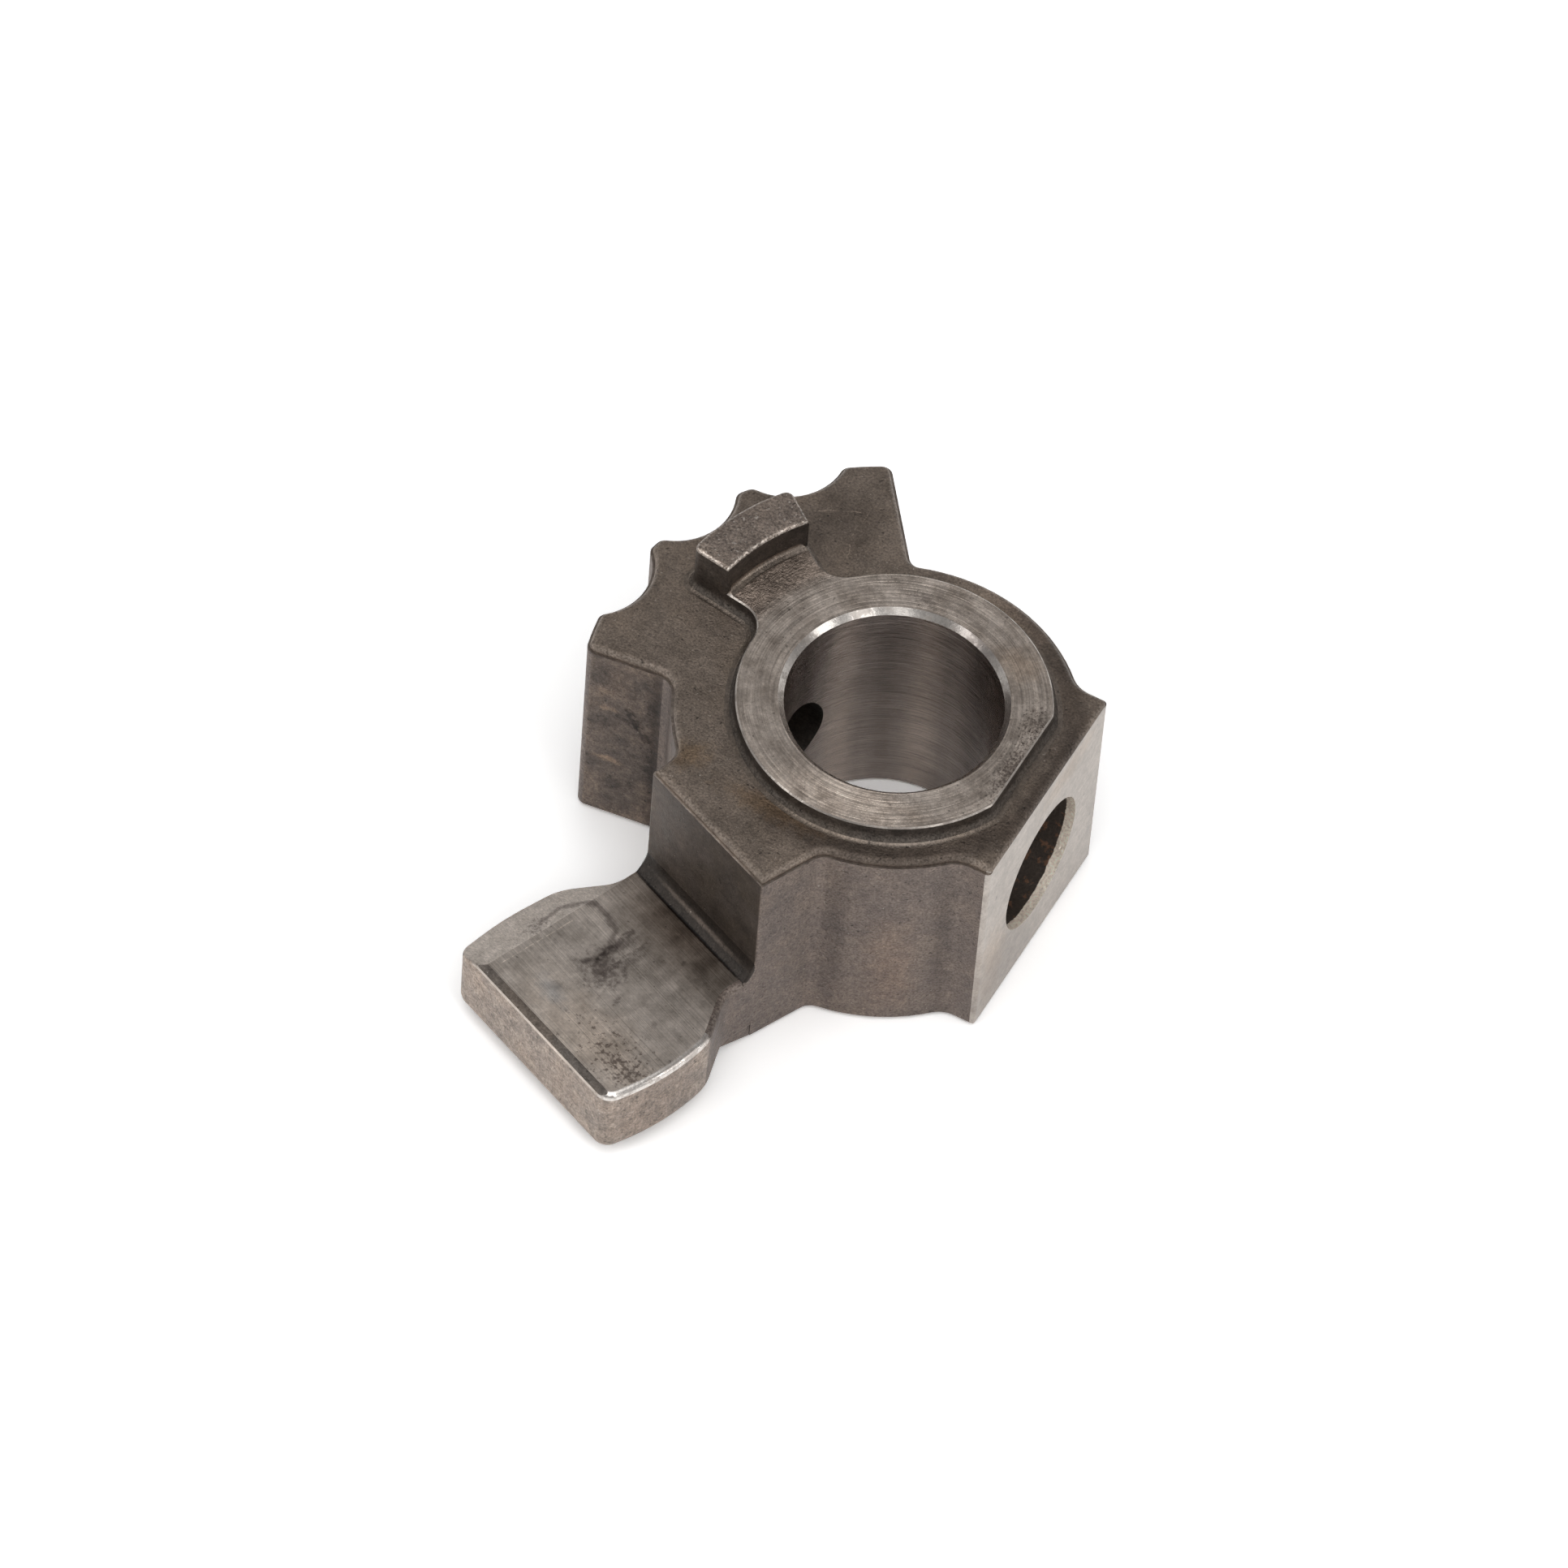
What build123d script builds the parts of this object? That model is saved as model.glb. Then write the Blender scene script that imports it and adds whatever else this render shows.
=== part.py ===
from build123d import *
import math
import os

# Gear selector arm: one steel forging, bored, faced, drilled and milled afterwards.
# Frame: the origin is on the bore's axis in the plane of the underside, +Z runs up the bore,
# and +X is the outward normal of the flat pad that the cross hole is drilled through.
# Millimetres and degrees throughout.

# Directions of the sector and of the arm, counted round the bore from +X
SECTOR_ANGLE = 157.5
ARM_ANGLE = SECTOR_ANGLE + 90.0

# Hub and bored boss
BORE_R = 11.0
BORE_CHAMFER = 0.6
BORE_LOW_CHAMFER = 0.4
HUB_R = 18.85
BODY_TOP = 26.4
BOSS_R = 15.85
BOSS_TOP = 28.3
BOSS_FLAT_X = 14.5
BOSS_FLAT_CORNER_R = 1.2
BOSS_EDGE = 0.15
BOSS_FOOT = 0.35

# Flat pad with the stepped cross hole
PAD_X = 17.6
PAD_HALF_WIDTH = 12.5
PAD_NECK_R = 3.0
PAD_CORNER_R = 0.5
PAD_NECK_ANGLE = math.degrees(math.asin(PAD_HALF_WIDTH / HUB_R))
CROSS_R = 7.3
CROSS_Z = BODY_TOP / 2
FAR_HOLE_R = 4.9
FAR_HOLE_DEPTH = 7.0
DRILL_POINT_ANGLE = 118.0

# Detent sector with round notches between its teeth
TIP_R = 31.4
TIP_CORNER_R = 1.1
NOTCH_R = 6.3
NOTCH_FLOOR_R = 28.8
NOTCH_PITCH = 21.0
NOTCH_STEPS = (-1, 0, 1)
FLANK_SLOPE = 30.0
FLANK_OFFSET = 5.45
FLANK_HUB_FOOT_R = 1.2
FLANK_WEB_FOOT_R = 2.2
FLANK_FOOT_ANGLE = FLANK_SLOPE + math.degrees(
    math.asin(FLANK_OFFSET * math.cos(math.radians(FLANK_SLOPE)) / HUB_R)
)

# Arm between the hub and the finger, and the web that joins it to the sector
ARM_LENGTH = 23.65
ARM_HALF_WIDTH = 8.68
ARM_TAPER = 0.065
ARM_HUB_FILLET_R = 1.8
ARM_WEB_FILLET_R = 2.0
ARM_CORNER_R = 0.3
ARM_FOOT_ANGLE = math.degrees(math.asin(ARM_HALF_WIDTH / HUB_R))
WEB_R = 22.1

# Rims of the forged body: a rounded crown stands in from the walls by a narrow trim ledge
CROWN_Z = 25.6
CROWN_INSET = 0.25
CROWN_RIM_R = 0.7
UNDER_RIM = 0.55

# Finger with its widened pad; each side has its corners at the waist, shoulder, widest place and end
FINGER_BOTTOM = 1.0
FINGER_TOP = 10.4
FINGER_END = 44.75
FINGER_WIDEST_X = 38.3
FINGER_LEFT = ((27.4, -ARM_HALF_WIDTH), (31.7, -12.4), (FINGER_WIDEST_X, -13.0), (FINGER_END, -12.2))
FINGER_RIGHT = ((27.3, ARM_HALF_WIDTH), (31.9, 11.95), (FINGER_WIDEST_X, 12.9), (FINGER_END, 11.6))
FINGER_WAIST_R = 3.0
FINGER_SHOULDER_R = 5.0
FINGER_SIDE_R = 26.0
FINGER_END_CORNER_R = 1.8
FINGER_RIM_R = 0.8
FINGER_LEFT_RIM_R = 0.3
FINGER_UNDER_RIM_R = 1.7
RAMP_START = 24.0
RAMP_END = 27.5
RAMP_INSET = 0.1
END_CHAMFER_LENGTH = 0.9
END_CHAMFER_DROP = 0.45
LEFT_RIDGE = 8.35
LEFT_SLOPE = 24.0

# Concave foot between the arm's end wall and the milled top of the finger
WALL_FOOT_R = 3.4
WALL_FOOT_TOP = 13.1

# Stop lug and the bridge that ties it to the boss
LUG_INNER_R = 20.9
LUG_OUTER_R = 25.4
LUG_HALF_ANGLE = 14.3
LUG_TOP = 32.2
LUG_CORNER_R = 0.9
LUG_RIM_R = 0.5
LUG_FOOT_R = 0.8
BRIDGE_FILLET_R = 3.0

# How far cutters run past what they cut, and how near a corner or edge must be to count as found
CUT_MARGIN = 1.0
MATCH = 0.02
CORNER_SPREAD = 15.0


def polar(radius, angle):
    """Point at a radius and an angle round the bore."""
    return (radius * math.cos(math.radians(angle)), radius * math.sin(math.radians(angle)))


def pie(radius, start, end):
    """Slice of a disc between two angles."""
    rim = CenterArc((0, 0), radius, start, end - start)
    return make_face([rim, Line(rim @ 1, (0, 0)), Line((0, 0), rim @ 0)])


def near(vertices, points):
    """Vertices that lie on one of the given points."""
    return [v for v in vertices if any(math.dist((v.X, v.Y), p) < MATCH for p in points)]


def at_radius(vertices, radius):
    """Vertices that lie on a circle round the bore."""
    return [v for v in vertices if abs(math.hypot(v.X, v.Y) - radius) < MATCH]


def towards(vertices, angle, spread):
    """Vertices whose direction from the bore is within a spread of an angle."""
    aim = Vector(*polar(1, angle))
    return [v for v in vertices if aim.get_angle(Vector(v.X, v.Y)) < spread]


def sector_outline(inset):
    """Detent sector on the +X side: straight flanks, round tips and round notches, all set in."""
    tip_r = TIP_R - inset
    slope = math.radians(FLANK_SLOPE)
    foot = FLANK_OFFSET - inset / math.cos(slope)
    tip_half_width = foot + tip_r * math.tan(slope)
    flanks = Polyline((0, -foot), (tip_r, -tip_half_width), (tip_r, tip_half_width), (0, foot), close=True)
    sector = make_face(flanks) & Circle(tip_r)
    for step in NOTCH_STEPS:
        centre = polar(NOTCH_FLOOR_R + NOTCH_R, step * NOTCH_PITCH)
        sector -= Pos(*centre) * Circle(NOTCH_R + inset)
    return fillet(at_radius(sector.vertices(), tip_r), TIP_CORNER_R - inset)


def arm_outline(inset):
    """Arm on the +X side, a little wider towards the hub, set in on its sides and end."""
    root_half_width = ARM_HALF_WIDTH + ARM_TAPER * ARM_LENGTH - inset
    end_half_width = ARM_HALF_WIDTH - inset
    end = ARM_LENGTH - inset
    left = [(0, -root_half_width), (end, -end_half_width)]
    right = [(end, end_half_width), (0, root_half_width)]
    return make_face(Polyline(*left, *right, close=True))


def body_outline(inset):
    """Plan of the forged body: hub, web, sector and arm, set in, and the flat pad, which stays flush."""
    hub_r = HUB_R - inset
    web_r = WEB_R - inset
    pad = Rectangle(PAD_X, 2 * (PAD_HALF_WIDTH - inset), align=(Align.MIN, Align.CENTER))
    outline = Circle(hub_r) + pie(web_r, SECTOR_ANGLE + NOTCH_PITCH, ARM_ANGLE) + pad
    outline += Rot(0, 0, SECTOR_ANGLE) * sector_outline(inset) + Rot(0, 0, ARM_ANGLE) * arm_outline(inset)
    outline -= Pos(PAD_X, 0) * Rectangle(HUB_R, 2 * HUB_R, align=(Align.MIN, Align.CENTER))
    inside_corners = [
        (hub_r, SECTOR_ANGLE - FLANK_FOOT_ANGLE, FLANK_HUB_FOOT_R),
        (web_r, SECTOR_ANGLE + FLANK_FOOT_ANGLE, FLANK_WEB_FOOT_R),
        (web_r, ARM_ANGLE - ARM_FOOT_ANGLE, ARM_WEB_FILLET_R),
        (hub_r, ARM_ANGLE + ARM_FOOT_ANGLE, ARM_HUB_FILLET_R),
        (hub_r, PAD_NECK_ANGLE, PAD_NECK_R),
        (hub_r, -PAD_NECK_ANGLE, PAD_NECK_R),
    ]
    for radius, angle, fillet_r in inside_corners:
        corner = towards(at_radius(outline.vertices(), radius), angle, CORNER_SPREAD)
        outline = fillet(corner, fillet_r + inset)
    return outline


def with_pad_corners(solid):
    """Rounds the upright corners of the flat pad."""
    upright = [e for e in solid.edges().filter_by(Axis.Z) if abs(e.center().X - PAD_X) < MATCH]
    return fillet(upright, PAD_CORNER_R)


def crown():
    """Upper layer of the body: flush at the flat pad, elsewhere set in from the walls, with a round rim."""
    start = CROWN_Z - CUT_MARGIN
    layer = Pos(0, 0, start) * extrude(body_outline(CROWN_INSET), BODY_TOP - start)
    layer = fillet(layer.faces().sort_by(Axis.Z)[-1].edges(), CROWN_RIM_R)
    return with_pad_corners(layer)


def wall_foot():
    """Concave foot on the +X side, between the arm's end wall and the milled top of the finger."""
    rise = WALL_FOOT_TOP - FINGER_TOP
    reach = WALL_FOOT_R - math.sqrt(WALL_FOOT_R**2 - rise**2)
    half_turn = math.asin(rise / WALL_FOOT_R) / 2
    top = (ARM_LENGTH, WALL_FOOT_TOP)
    toe = (ARM_LENGTH + reach, FINGER_TOP)
    middle = (
        ARM_LENGTH + WALL_FOOT_R * (1 - math.cos(half_turn)),
        WALL_FOOT_TOP - WALL_FOOT_R * math.sin(half_turn),
    )
    hidden_x = ARM_LENGTH - CUT_MARGIN
    hidden_z = FINGER_TOP - CUT_MARGIN
    back = Polyline(toe, (toe[0], hidden_z), (hidden_x, hidden_z), (hidden_x, WALL_FOOT_TOP), top)
    profile = make_face([ThreePointArc(top, middle, toe), *back.edges()])
    return extrude(Plane.XZ * profile, ARM_HALF_WIDTH, both=True)


def walls():
    """Body up to the trim ledge, with the foot under the arm's end wall and that wall's corners rounded."""
    plate = extrude(body_outline(0), CROWN_Z)
    plate = with_pad_corners(chamfer(plate.faces().sort_by(Axis.Z)[0].edges(), UNDER_RIM))
    local = Rot(0, 0, -ARM_ANGLE) * plate + wall_foot()
    sides = [e for e in local.edges() if abs(abs(e.center().Y) - ARM_HALF_WIDTH) < MATCH]
    at_end = [e for e in sides if abs(e.center().X - ARM_LENGTH) < MATCH]
    upright = [e for e in at_end if e.center().Z > WALL_FOOT_TOP]
    curved = [e for e in sides if e.geom_type == GeomType.CIRCLE and e.center().Z > FINGER_TOP]
    return Rot(0, 0, ARM_ANGLE) * fillet(upright + curved, ARM_CORNER_R)


def boss_outline():
    """Plan of the bored boss with its flat, and of the bridge and lug slice that grow out of it."""
    flat_cut = Pos(BOSS_FLAT_X, 0) * Rectangle(BOSS_R, 2 * BOSS_R, align=(Align.MIN, Align.CENTER))
    boss = Circle(BOSS_R) - flat_cut
    boss = fillet(boss.vertices(), BOSS_FLAT_CORNER_R)
    outline = boss + lug_slice()
    roots = towards(at_radius(outline.vertices(), BOSS_R), SECTOR_ANGLE, 2 * LUG_HALF_ANGLE)
    return fillet(roots, BRIDGE_FILLET_R)


def lug_slice():
    """Slice with radial ends and round outer corners that the bridge and the stop lug share."""
    plan = pie(LUG_OUTER_R, SECTOR_ANGLE - LUG_HALF_ANGLE, SECTOR_ANGLE + LUG_HALF_ANGLE)
    return fillet(at_radius(plan.vertices(), LUG_OUTER_R), LUG_CORNER_R)


def boss_and_lug():
    """Faced boss, bridge and stop lug, standing on top of the body."""
    low = extrude(boss_outline(), BOSS_TOP - BODY_TOP)
    low = chamfer(low.faces().sort_by(Axis.Z)[-1].edges(), BOSS_EDGE)
    lug = extrude(lug_slice() - Circle(LUG_INNER_R), LUG_TOP - BODY_TOP)
    lug = fillet(lug.faces().sort_by(Axis.Z)[-1].edges(), LUG_RIM_R)
    return Pos(0, 0, BODY_TOP) * (low + lug)


def finger_outline():
    """Finger's plan on the +X side: straight neck, shoulders and a widened pad."""
    root = ARM_LENGTH - UNDER_RIM
    corners = [(root, -ARM_HALF_WIDTH), *FINGER_LEFT, *reversed(FINGER_RIGHT), (root, ARM_HALF_WIDTH)]
    outline = make_face(Polyline(*corners, close=True))
    radii = [FINGER_WAIST_R, FINGER_SHOULDER_R, FINGER_SIDE_R, FINGER_END_CORNER_R]
    for left_corner, right_corner, radius in zip(FINGER_LEFT, FINGER_RIGHT, radii):
        outline = fillet(near(outline.vertices(), [left_corner, right_corner]), radius)
    return outline


def across(half_width, *points):
    """Prism with the given profile in X and Z that runs across the finger."""
    return extrude(Plane.XZ * make_face(Polyline(*points, close=True)), half_width, both=True)


def neck_ramp():
    """Thicker underside of the neck, which climbs from the body's level to the pad's."""
    root = ARM_LENGTH - UNDER_RIM
    high = FINGER_BOTTOM + FINGER_UNDER_RIM_R
    half_width = ARM_HALF_WIDTH - RAMP_INSET
    underside = [(root, 0), (RAMP_START, 0), (RAMP_END, FINGER_BOTTOM)]
    block = across(half_width, *underside, (RAMP_END, high), (root, high))
    sides = [e for e in block.edges() if e.center().Z < FINGER_BOTTOM and abs(e.center().Y) > MATCH]
    return chamfer(sides, UNDER_RIM)


def end_chamfer():
    """Wedge that takes the upper edge off the finger's end."""
    start = FINGER_END - END_CHAMFER_LENGTH
    past = FINGER_END + END_CHAMFER_LENGTH
    low = FINGER_TOP - 2 * END_CHAMFER_DROP
    return across(FINGER_END, (start, FINGER_TOP), (past, FINGER_TOP), (past, low))


def left_slope():
    """Wedge above the sloped left margin of the finger."""
    fall = ARM_LENGTH * math.tan(math.radians(LEFT_SLOPE))
    outer = -LEFT_RIDGE - ARM_LENGTH
    wedge = Polyline((-LEFT_RIDGE, FINGER_TOP), (outer, FINGER_TOP - fall), (outer, FINGER_TOP), close=True)
    return extrude(Plane.YZ * make_face(wedge), 2 * FINGER_END)


def finger():
    """Finger on the +X side: milled top, sloped left margin, chamfered end and rounded rims."""
    blank = Pos(0, 0, FINGER_BOTTOM) * extrude(finger_outline(), FINGER_TOP - FINGER_BOTTOM)
    low = blank.faces().sort_by(Axis.Z)[0].edges()
    blank = fillet([e for e in low if e.center().X > ARM_LENGTH], FINGER_UNDER_RIM_R)
    blank -= left_slope()
    top = blank.faces().sort_by(Axis.Z)[-1].edges()
    rim = [e for e in top if e.center().X > ARM_LENGTH and e.center().Y > -LEFT_RIDGE + CUT_MARGIN]
    blank = fillet(rim, FINGER_RIM_R)
    lean = math.cos(math.radians(LEFT_SLOPE))
    sloped = [f for f in blank.faces() if abs(f.normal_at().Z - lean) < MATCH and f.normal_at().Y < 0]
    margin = ShapeList(sloped).sort_by(SortBy.AREA)[-1].edges()
    outer = [e for e in margin if e.center().Y < -LEFT_RIDGE - CUT_MARGIN]
    blank = fillet([e for e in outer if e.center().X < FINGER_WIDEST_X], FINGER_LEFT_RIM_R)
    return blank - end_chamfer() + neck_ramp()


def bore():
    """Through bore with a chamfer at both mouths, its seam turned away from both cross holes."""
    hole = Pos(0, 0, -CUT_MARGIN) * extrude(Circle(BORE_R), BOSS_TOP + 2 * CUT_MARGIN)
    top_depth = BORE_CHAMFER + CUT_MARGIN
    low_depth = BORE_LOW_CHAMFER + CUT_MARGIN
    top_mouth = Cone(BORE_R, BORE_R + top_depth, top_depth)
    low_mouth = Cone(BORE_R + low_depth, BORE_R, low_depth)
    top_z = BOSS_TOP - BORE_CHAMFER + top_depth / 2
    low_z = BORE_LOW_CHAMFER - low_depth / 2
    return Rot(0, 0, ARM_ANGLE) * (hole + Pos(0, 0, top_z) * top_mouth + Pos(0, 0, low_z) * low_mouth)


def cross_hole():
    """Hole from the flat pad into the bore."""
    start = Plane(origin=(0, 0, CROSS_Z), z_dir=(1, 0, 0))
    return extrude(start * Circle(CROSS_R), PAD_X + CUT_MARGIN)


def far_hole():
    """Smaller blind hole in the bore's wall across from the cross hole, with a drill-point end."""
    start = Plane(origin=(0, 0, CROSS_Z), z_dir=(-1, 0, 0))
    straight = BORE_R + FAR_HOLE_DEPTH
    point = FAR_HOLE_R / math.tan(math.radians(DRILL_POINT_ANGLE / 2))
    tip = start * Pos(0, 0, straight + point / 2) * Cone(FAR_HOLE_R, 0, point)
    return extrude(start * Circle(FAR_HOLE_R), straight) + tip


def selector_arm():
    """Whole forging with its machined surfaces and holes."""
    raised = walls() + crown() + boss_and_lug()
    decks = [f for f in raised.faces().filter_by(Axis.Z) if abs(f.center().Z - BODY_TOP) < MATCH]
    raised = chamfer(decks[0].inner_wires()[0].edges(), BOSS_FOOT)
    arcs = [e for e in raised.edges().filter_by(GeomType.CIRCLE) if abs(e.radius - LUG_INNER_R) < MATCH]
    raised = fillet([e for e in arcs if abs(e.center().Z - BOSS_TOP) < MATCH], LUG_FOOT_R)
    joined = raised + Rot(0, 0, ARM_ANGLE) * finger()
    return joined - bore() - cross_hole() - far_hole()


if __name__ == "__main__":
    os.makedirs("parts", exist_ok=True)
    export_step(selector_arm(), "parts/selector_arm.step")
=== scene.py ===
"""Finish and studio of a gear selector arm: one steel forging, machined where it fits its neighbours."""

import logging
import math
from dataclasses import dataclass
from enum import Enum
from typing import Callable, Optional, Sequence, Union

import bmesh
import bpy
from mathutils import Matrix, Vector


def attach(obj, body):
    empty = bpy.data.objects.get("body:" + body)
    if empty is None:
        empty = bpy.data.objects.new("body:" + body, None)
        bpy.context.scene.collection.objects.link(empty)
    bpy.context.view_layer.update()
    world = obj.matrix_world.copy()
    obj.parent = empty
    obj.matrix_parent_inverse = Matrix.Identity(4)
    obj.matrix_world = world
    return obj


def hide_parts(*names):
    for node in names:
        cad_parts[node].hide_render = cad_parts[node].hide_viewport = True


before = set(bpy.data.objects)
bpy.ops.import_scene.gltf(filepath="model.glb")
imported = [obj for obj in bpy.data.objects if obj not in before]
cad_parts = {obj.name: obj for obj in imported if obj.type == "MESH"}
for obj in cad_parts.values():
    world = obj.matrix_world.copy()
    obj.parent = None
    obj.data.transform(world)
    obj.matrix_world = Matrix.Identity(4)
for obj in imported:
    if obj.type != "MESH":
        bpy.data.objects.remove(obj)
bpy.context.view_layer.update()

Socket = bpy.types.NodeSocket
Outputs = bpy.types.NodeOutputs
Feed = Union[float, Sequence[float], Socket]
Pair = tuple[float, float]
Triple = tuple[float, float, float]

MM = 0.001
NODE = "selector_arm"
LOG = logging.getLogger(NODE)

# Angles in degrees round the bore, levels in millimetres over the underside
ARM_ANGLE = 247.5
ARM_TURN = ARM_ANGLE - 180.0
FINGER_LEVEL = 10.4
MID_LEVEL = 14.0
LEDGE_LEVEL = 25.6
BODY_TOP = 26.4
BOSS_TOP = 28.3
LUG_TOP = 32.2

# Radii of bore and hub, place of the flat pad's face and length of the thick arm, in millimetres
BORE_R = 11.0
HUB_R = 18.85
PAD_X = 17.6
ARM_LENGTH = 23.65

# Upward reach in millimetres of a mark on a level face, and of a painted reflection band on the bore's wall
MARK_DEPTH = 3.0
BAND_HEIGHT = 60.0

# Shifts in millimetres that keep one noise apart from another
ASIDE = (31.0, -17.0, 9.0)
APART = (-12.0, 23.0, 5.0)


def polar(radius: float, angle: float, level: float) -> Triple:
    """Point at a radius and an angle round the bore, in millimetres."""
    turn = math.radians(angle)
    return (radius * math.cos(turn), radius * math.sin(turn), level)


def on_arm(along: float, across: float, level: float) -> Triple:
    """Point given by its distances along and across the arm, in millimetres.

    Args:
        along: Distance along the arm.
        across: Distance across the arm.
        level: Height over the underside.

    Returns:
        The point.
    """
    aim = Vector(polar(1.0, ARM_ANGLE, 0.0))
    side = Vector(polar(1.0, ARM_ANGLE + 90.0, 0.0))
    spot = along * aim + across * side
    return (spot.x, spot.y, level)


class Desk:
    """Adds and joins the nodes of one shader tree."""

    def __init__(self, tree: bpy.types.NodeTree) -> None:
        """Takes the tree that the nodes go into."""
        self.tree = tree

    def add(self, kind: str, feeds: dict[Union[str, int], Feed], **settings: object) -> bpy.types.Node:
        """Adds a node.

        Args:
            kind: Blender's name of the node's type.
            feeds: What goes into its sockets, by name or number: a plain value, or a socket to join.
            **settings: The node's own properties.

        Returns:
            The new node.
        """
        node = self.tree.nodes.new(kind)
        for name, value in settings.items():
            setattr(node, name, value)
        for key, value in feeds.items():
            self.feed(node.inputs[key], value)
        return node

    def feed(self, socket: Socket, value: Feed) -> None:
        """Joins a socket to an input, or sets the input's plain value.

        Args:
            socket: The input.
            value: The socket to join, or the plain value to set.
        """
        if isinstance(value, bpy.types.NodeSocket):
            self.tree.links.new(value, socket)
        elif socket.type == "RGBA":
            socket.default_value = (*value, 1.0)
        else:
            socket.default_value = value

    def math(self, operation: str, first: Feed, second: Feed = 0.0, third: Feed = 0.0) -> Socket:
        """Puts up to three numbers through a sum and returns the result."""
        return self.add("ShaderNodeMath", {0: first, 1: second, 2: third}, operation=operation).outputs[0]

    def rest(self, share: Feed) -> Socket:
        """What a share leaves of one."""
        return self.math("SUBTRACT", 1.0, share)

    def vector(self, operation: str, first: Feed, second: Feed = (0.0, 0.0, 0.0)) -> Socket:
        """Puts two vectors through a sum and returns the resulting vector."""
        return self.add("ShaderNodeVectorMath", {0: first, 1: second}, operation=operation).outputs[0]

    def reading(self, operation: str, first: Feed, second: Feed = (0.0, 0.0, 0.0)) -> Socket:
        """Puts two vectors through a sum and returns the resulting number."""
        return self.add("ShaderNodeVectorMath", {0: first, 1: second}, operation=operation).outputs[1]

    def scale(self, vector: Feed, factor: Feed) -> Socket:
        """Stretches a vector or a colour by a number."""
        return self.add("ShaderNodeVectorMath", {0: vector, "Scale": factor}, operation="SCALE").outputs[0]

    def parts(self, vector: Feed) -> tuple[Socket, Socket, Socket]:
        """Splits a vector into its three numbers."""
        node = self.add("ShaderNodeSeparateXYZ", {0: vector})
        return node.outputs[0], node.outputs[1], node.outputs[2]

    def joined(self, x: Feed, y: Feed, z: Feed) -> Socket:
        """Makes a vector of three numbers."""
        return self.add("ShaderNodeCombineXYZ", {0: x, 1: y, 2: z}).outputs[0]

    def blend(self, share: Feed, first: Feed, second: Feed) -> Socket:
        """Mixes two colours, from the first at a share of 0 to the second at 1."""
        return self.add("ShaderNodeMix", {0: share, 6: first, 7: second}, data_type="RGBA").outputs[2]

    def ease(self, value: Feed, low: Feed, high: Feed) -> Socket:
        """Soft step of a number, 0 up to low and 1 from high on."""
        feeds = {"Value": value, "From Min": low, "From Max": high}
        return self.add("ShaderNodeMapRange", feeds, interpolation_type="SMOOTHSTEP").outputs[0]

    def spread(self, value: Feed, low: Feed = 0.3, high: Feed = 0.7) -> Socket:
        """Straight stretch of a noise, so that low becomes 0 and high becomes 1."""
        return self.add("ShaderNodeMapRange", {"Value": value, "From Min": low, "From Max": high}).outputs[0]

    def between(self, share: Feed, ends: Pair) -> Socket:
        """Number at a share of the way from the first end of a range to the last."""
        first, last = ends
        return self.math("MULTIPLY_ADD", share, last - first, first)

    def vary(self, colour: Feed, mask: Feed, span: Feed) -> Socket:
        """Makes a colour darker and lighter by a span, as a mask goes from 0 to 1."""
        return self.scale(colour, self.math("MULTIPLY_ADD", self.math("SUBTRACT", mask, 0.5), span, 1.0))

    def lay(self, mask: Feed, strength: Feed, under: Feed, over: Feed) -> Socket:
        """Lays one colour over another as far as a mask and its strength let it."""
        return self.blend(self.math("MULTIPLY", mask, strength), under, over)

    def noise(self, point: Feed, per_mm: Feed, detail: float = 2.0, rough: float = 0.5) -> Socket:
        """Smooth random pattern over points in millimetres, with so many features to the millimetre."""
        feeds = {"Vector": point, "Scale": per_mm, "Detail": detail, "Roughness": rough}
        return self.add("ShaderNodeTexNoise", feeds).outputs[0]

    def turned(self, point: Feed, angle: Feed) -> Socket:
        """Turns points back about +Z by an angle in radians."""
        feeds = {"Vector": point, "Angle": self.math("MULTIPLY", angle, -1.0)}
        return self.add("ShaderNodeVectorRotate", feeds, rotation_type="Z_AXIS").outputs[0]


class Kind(Enum):
    """Types of socket that the shared effects have."""

    NUMBER = "NodeSocketFloat"
    VECTOR = "NodeSocketVector"


@dataclass(frozen=True)
class Port:
    """One named input or output of a shared effect."""

    name: str
    kind: Kind = Kind.NUMBER
    value: Feed = 0.0


@dataclass(frozen=True)
class Recipe:
    """A shared effect: its sockets, and the function that joins them up."""

    name: str
    takes: tuple[Port, ...]
    gives: tuple[Port, ...]
    make: Callable[[Desk, dict[str, Socket]], dict[str, Socket]]

    def build(self) -> bpy.types.NodeTree:
        """Builds the effect as a shader node group.

        Returns:
            The group's tree.
        """
        tree = bpy.data.node_groups.new(self.name, "ShaderNodeTree")
        for port in self.takes:
            socket = tree.interface.new_socket(name=port.name, in_out="INPUT", socket_type=port.kind.value)
            socket.default_value = port.value
        for port in self.gives:
            tree.interface.new_socket(name=port.name, in_out="OUTPUT", socket_type=port.kind.value)
        desk = Desk(tree)
        source = desk.add("NodeGroupInput", {})
        results = self.make(desk, {port.name: source.outputs[port.name] for port in self.takes})
        desk.add("NodeGroupOutput", dict(results))
        return tree


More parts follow.
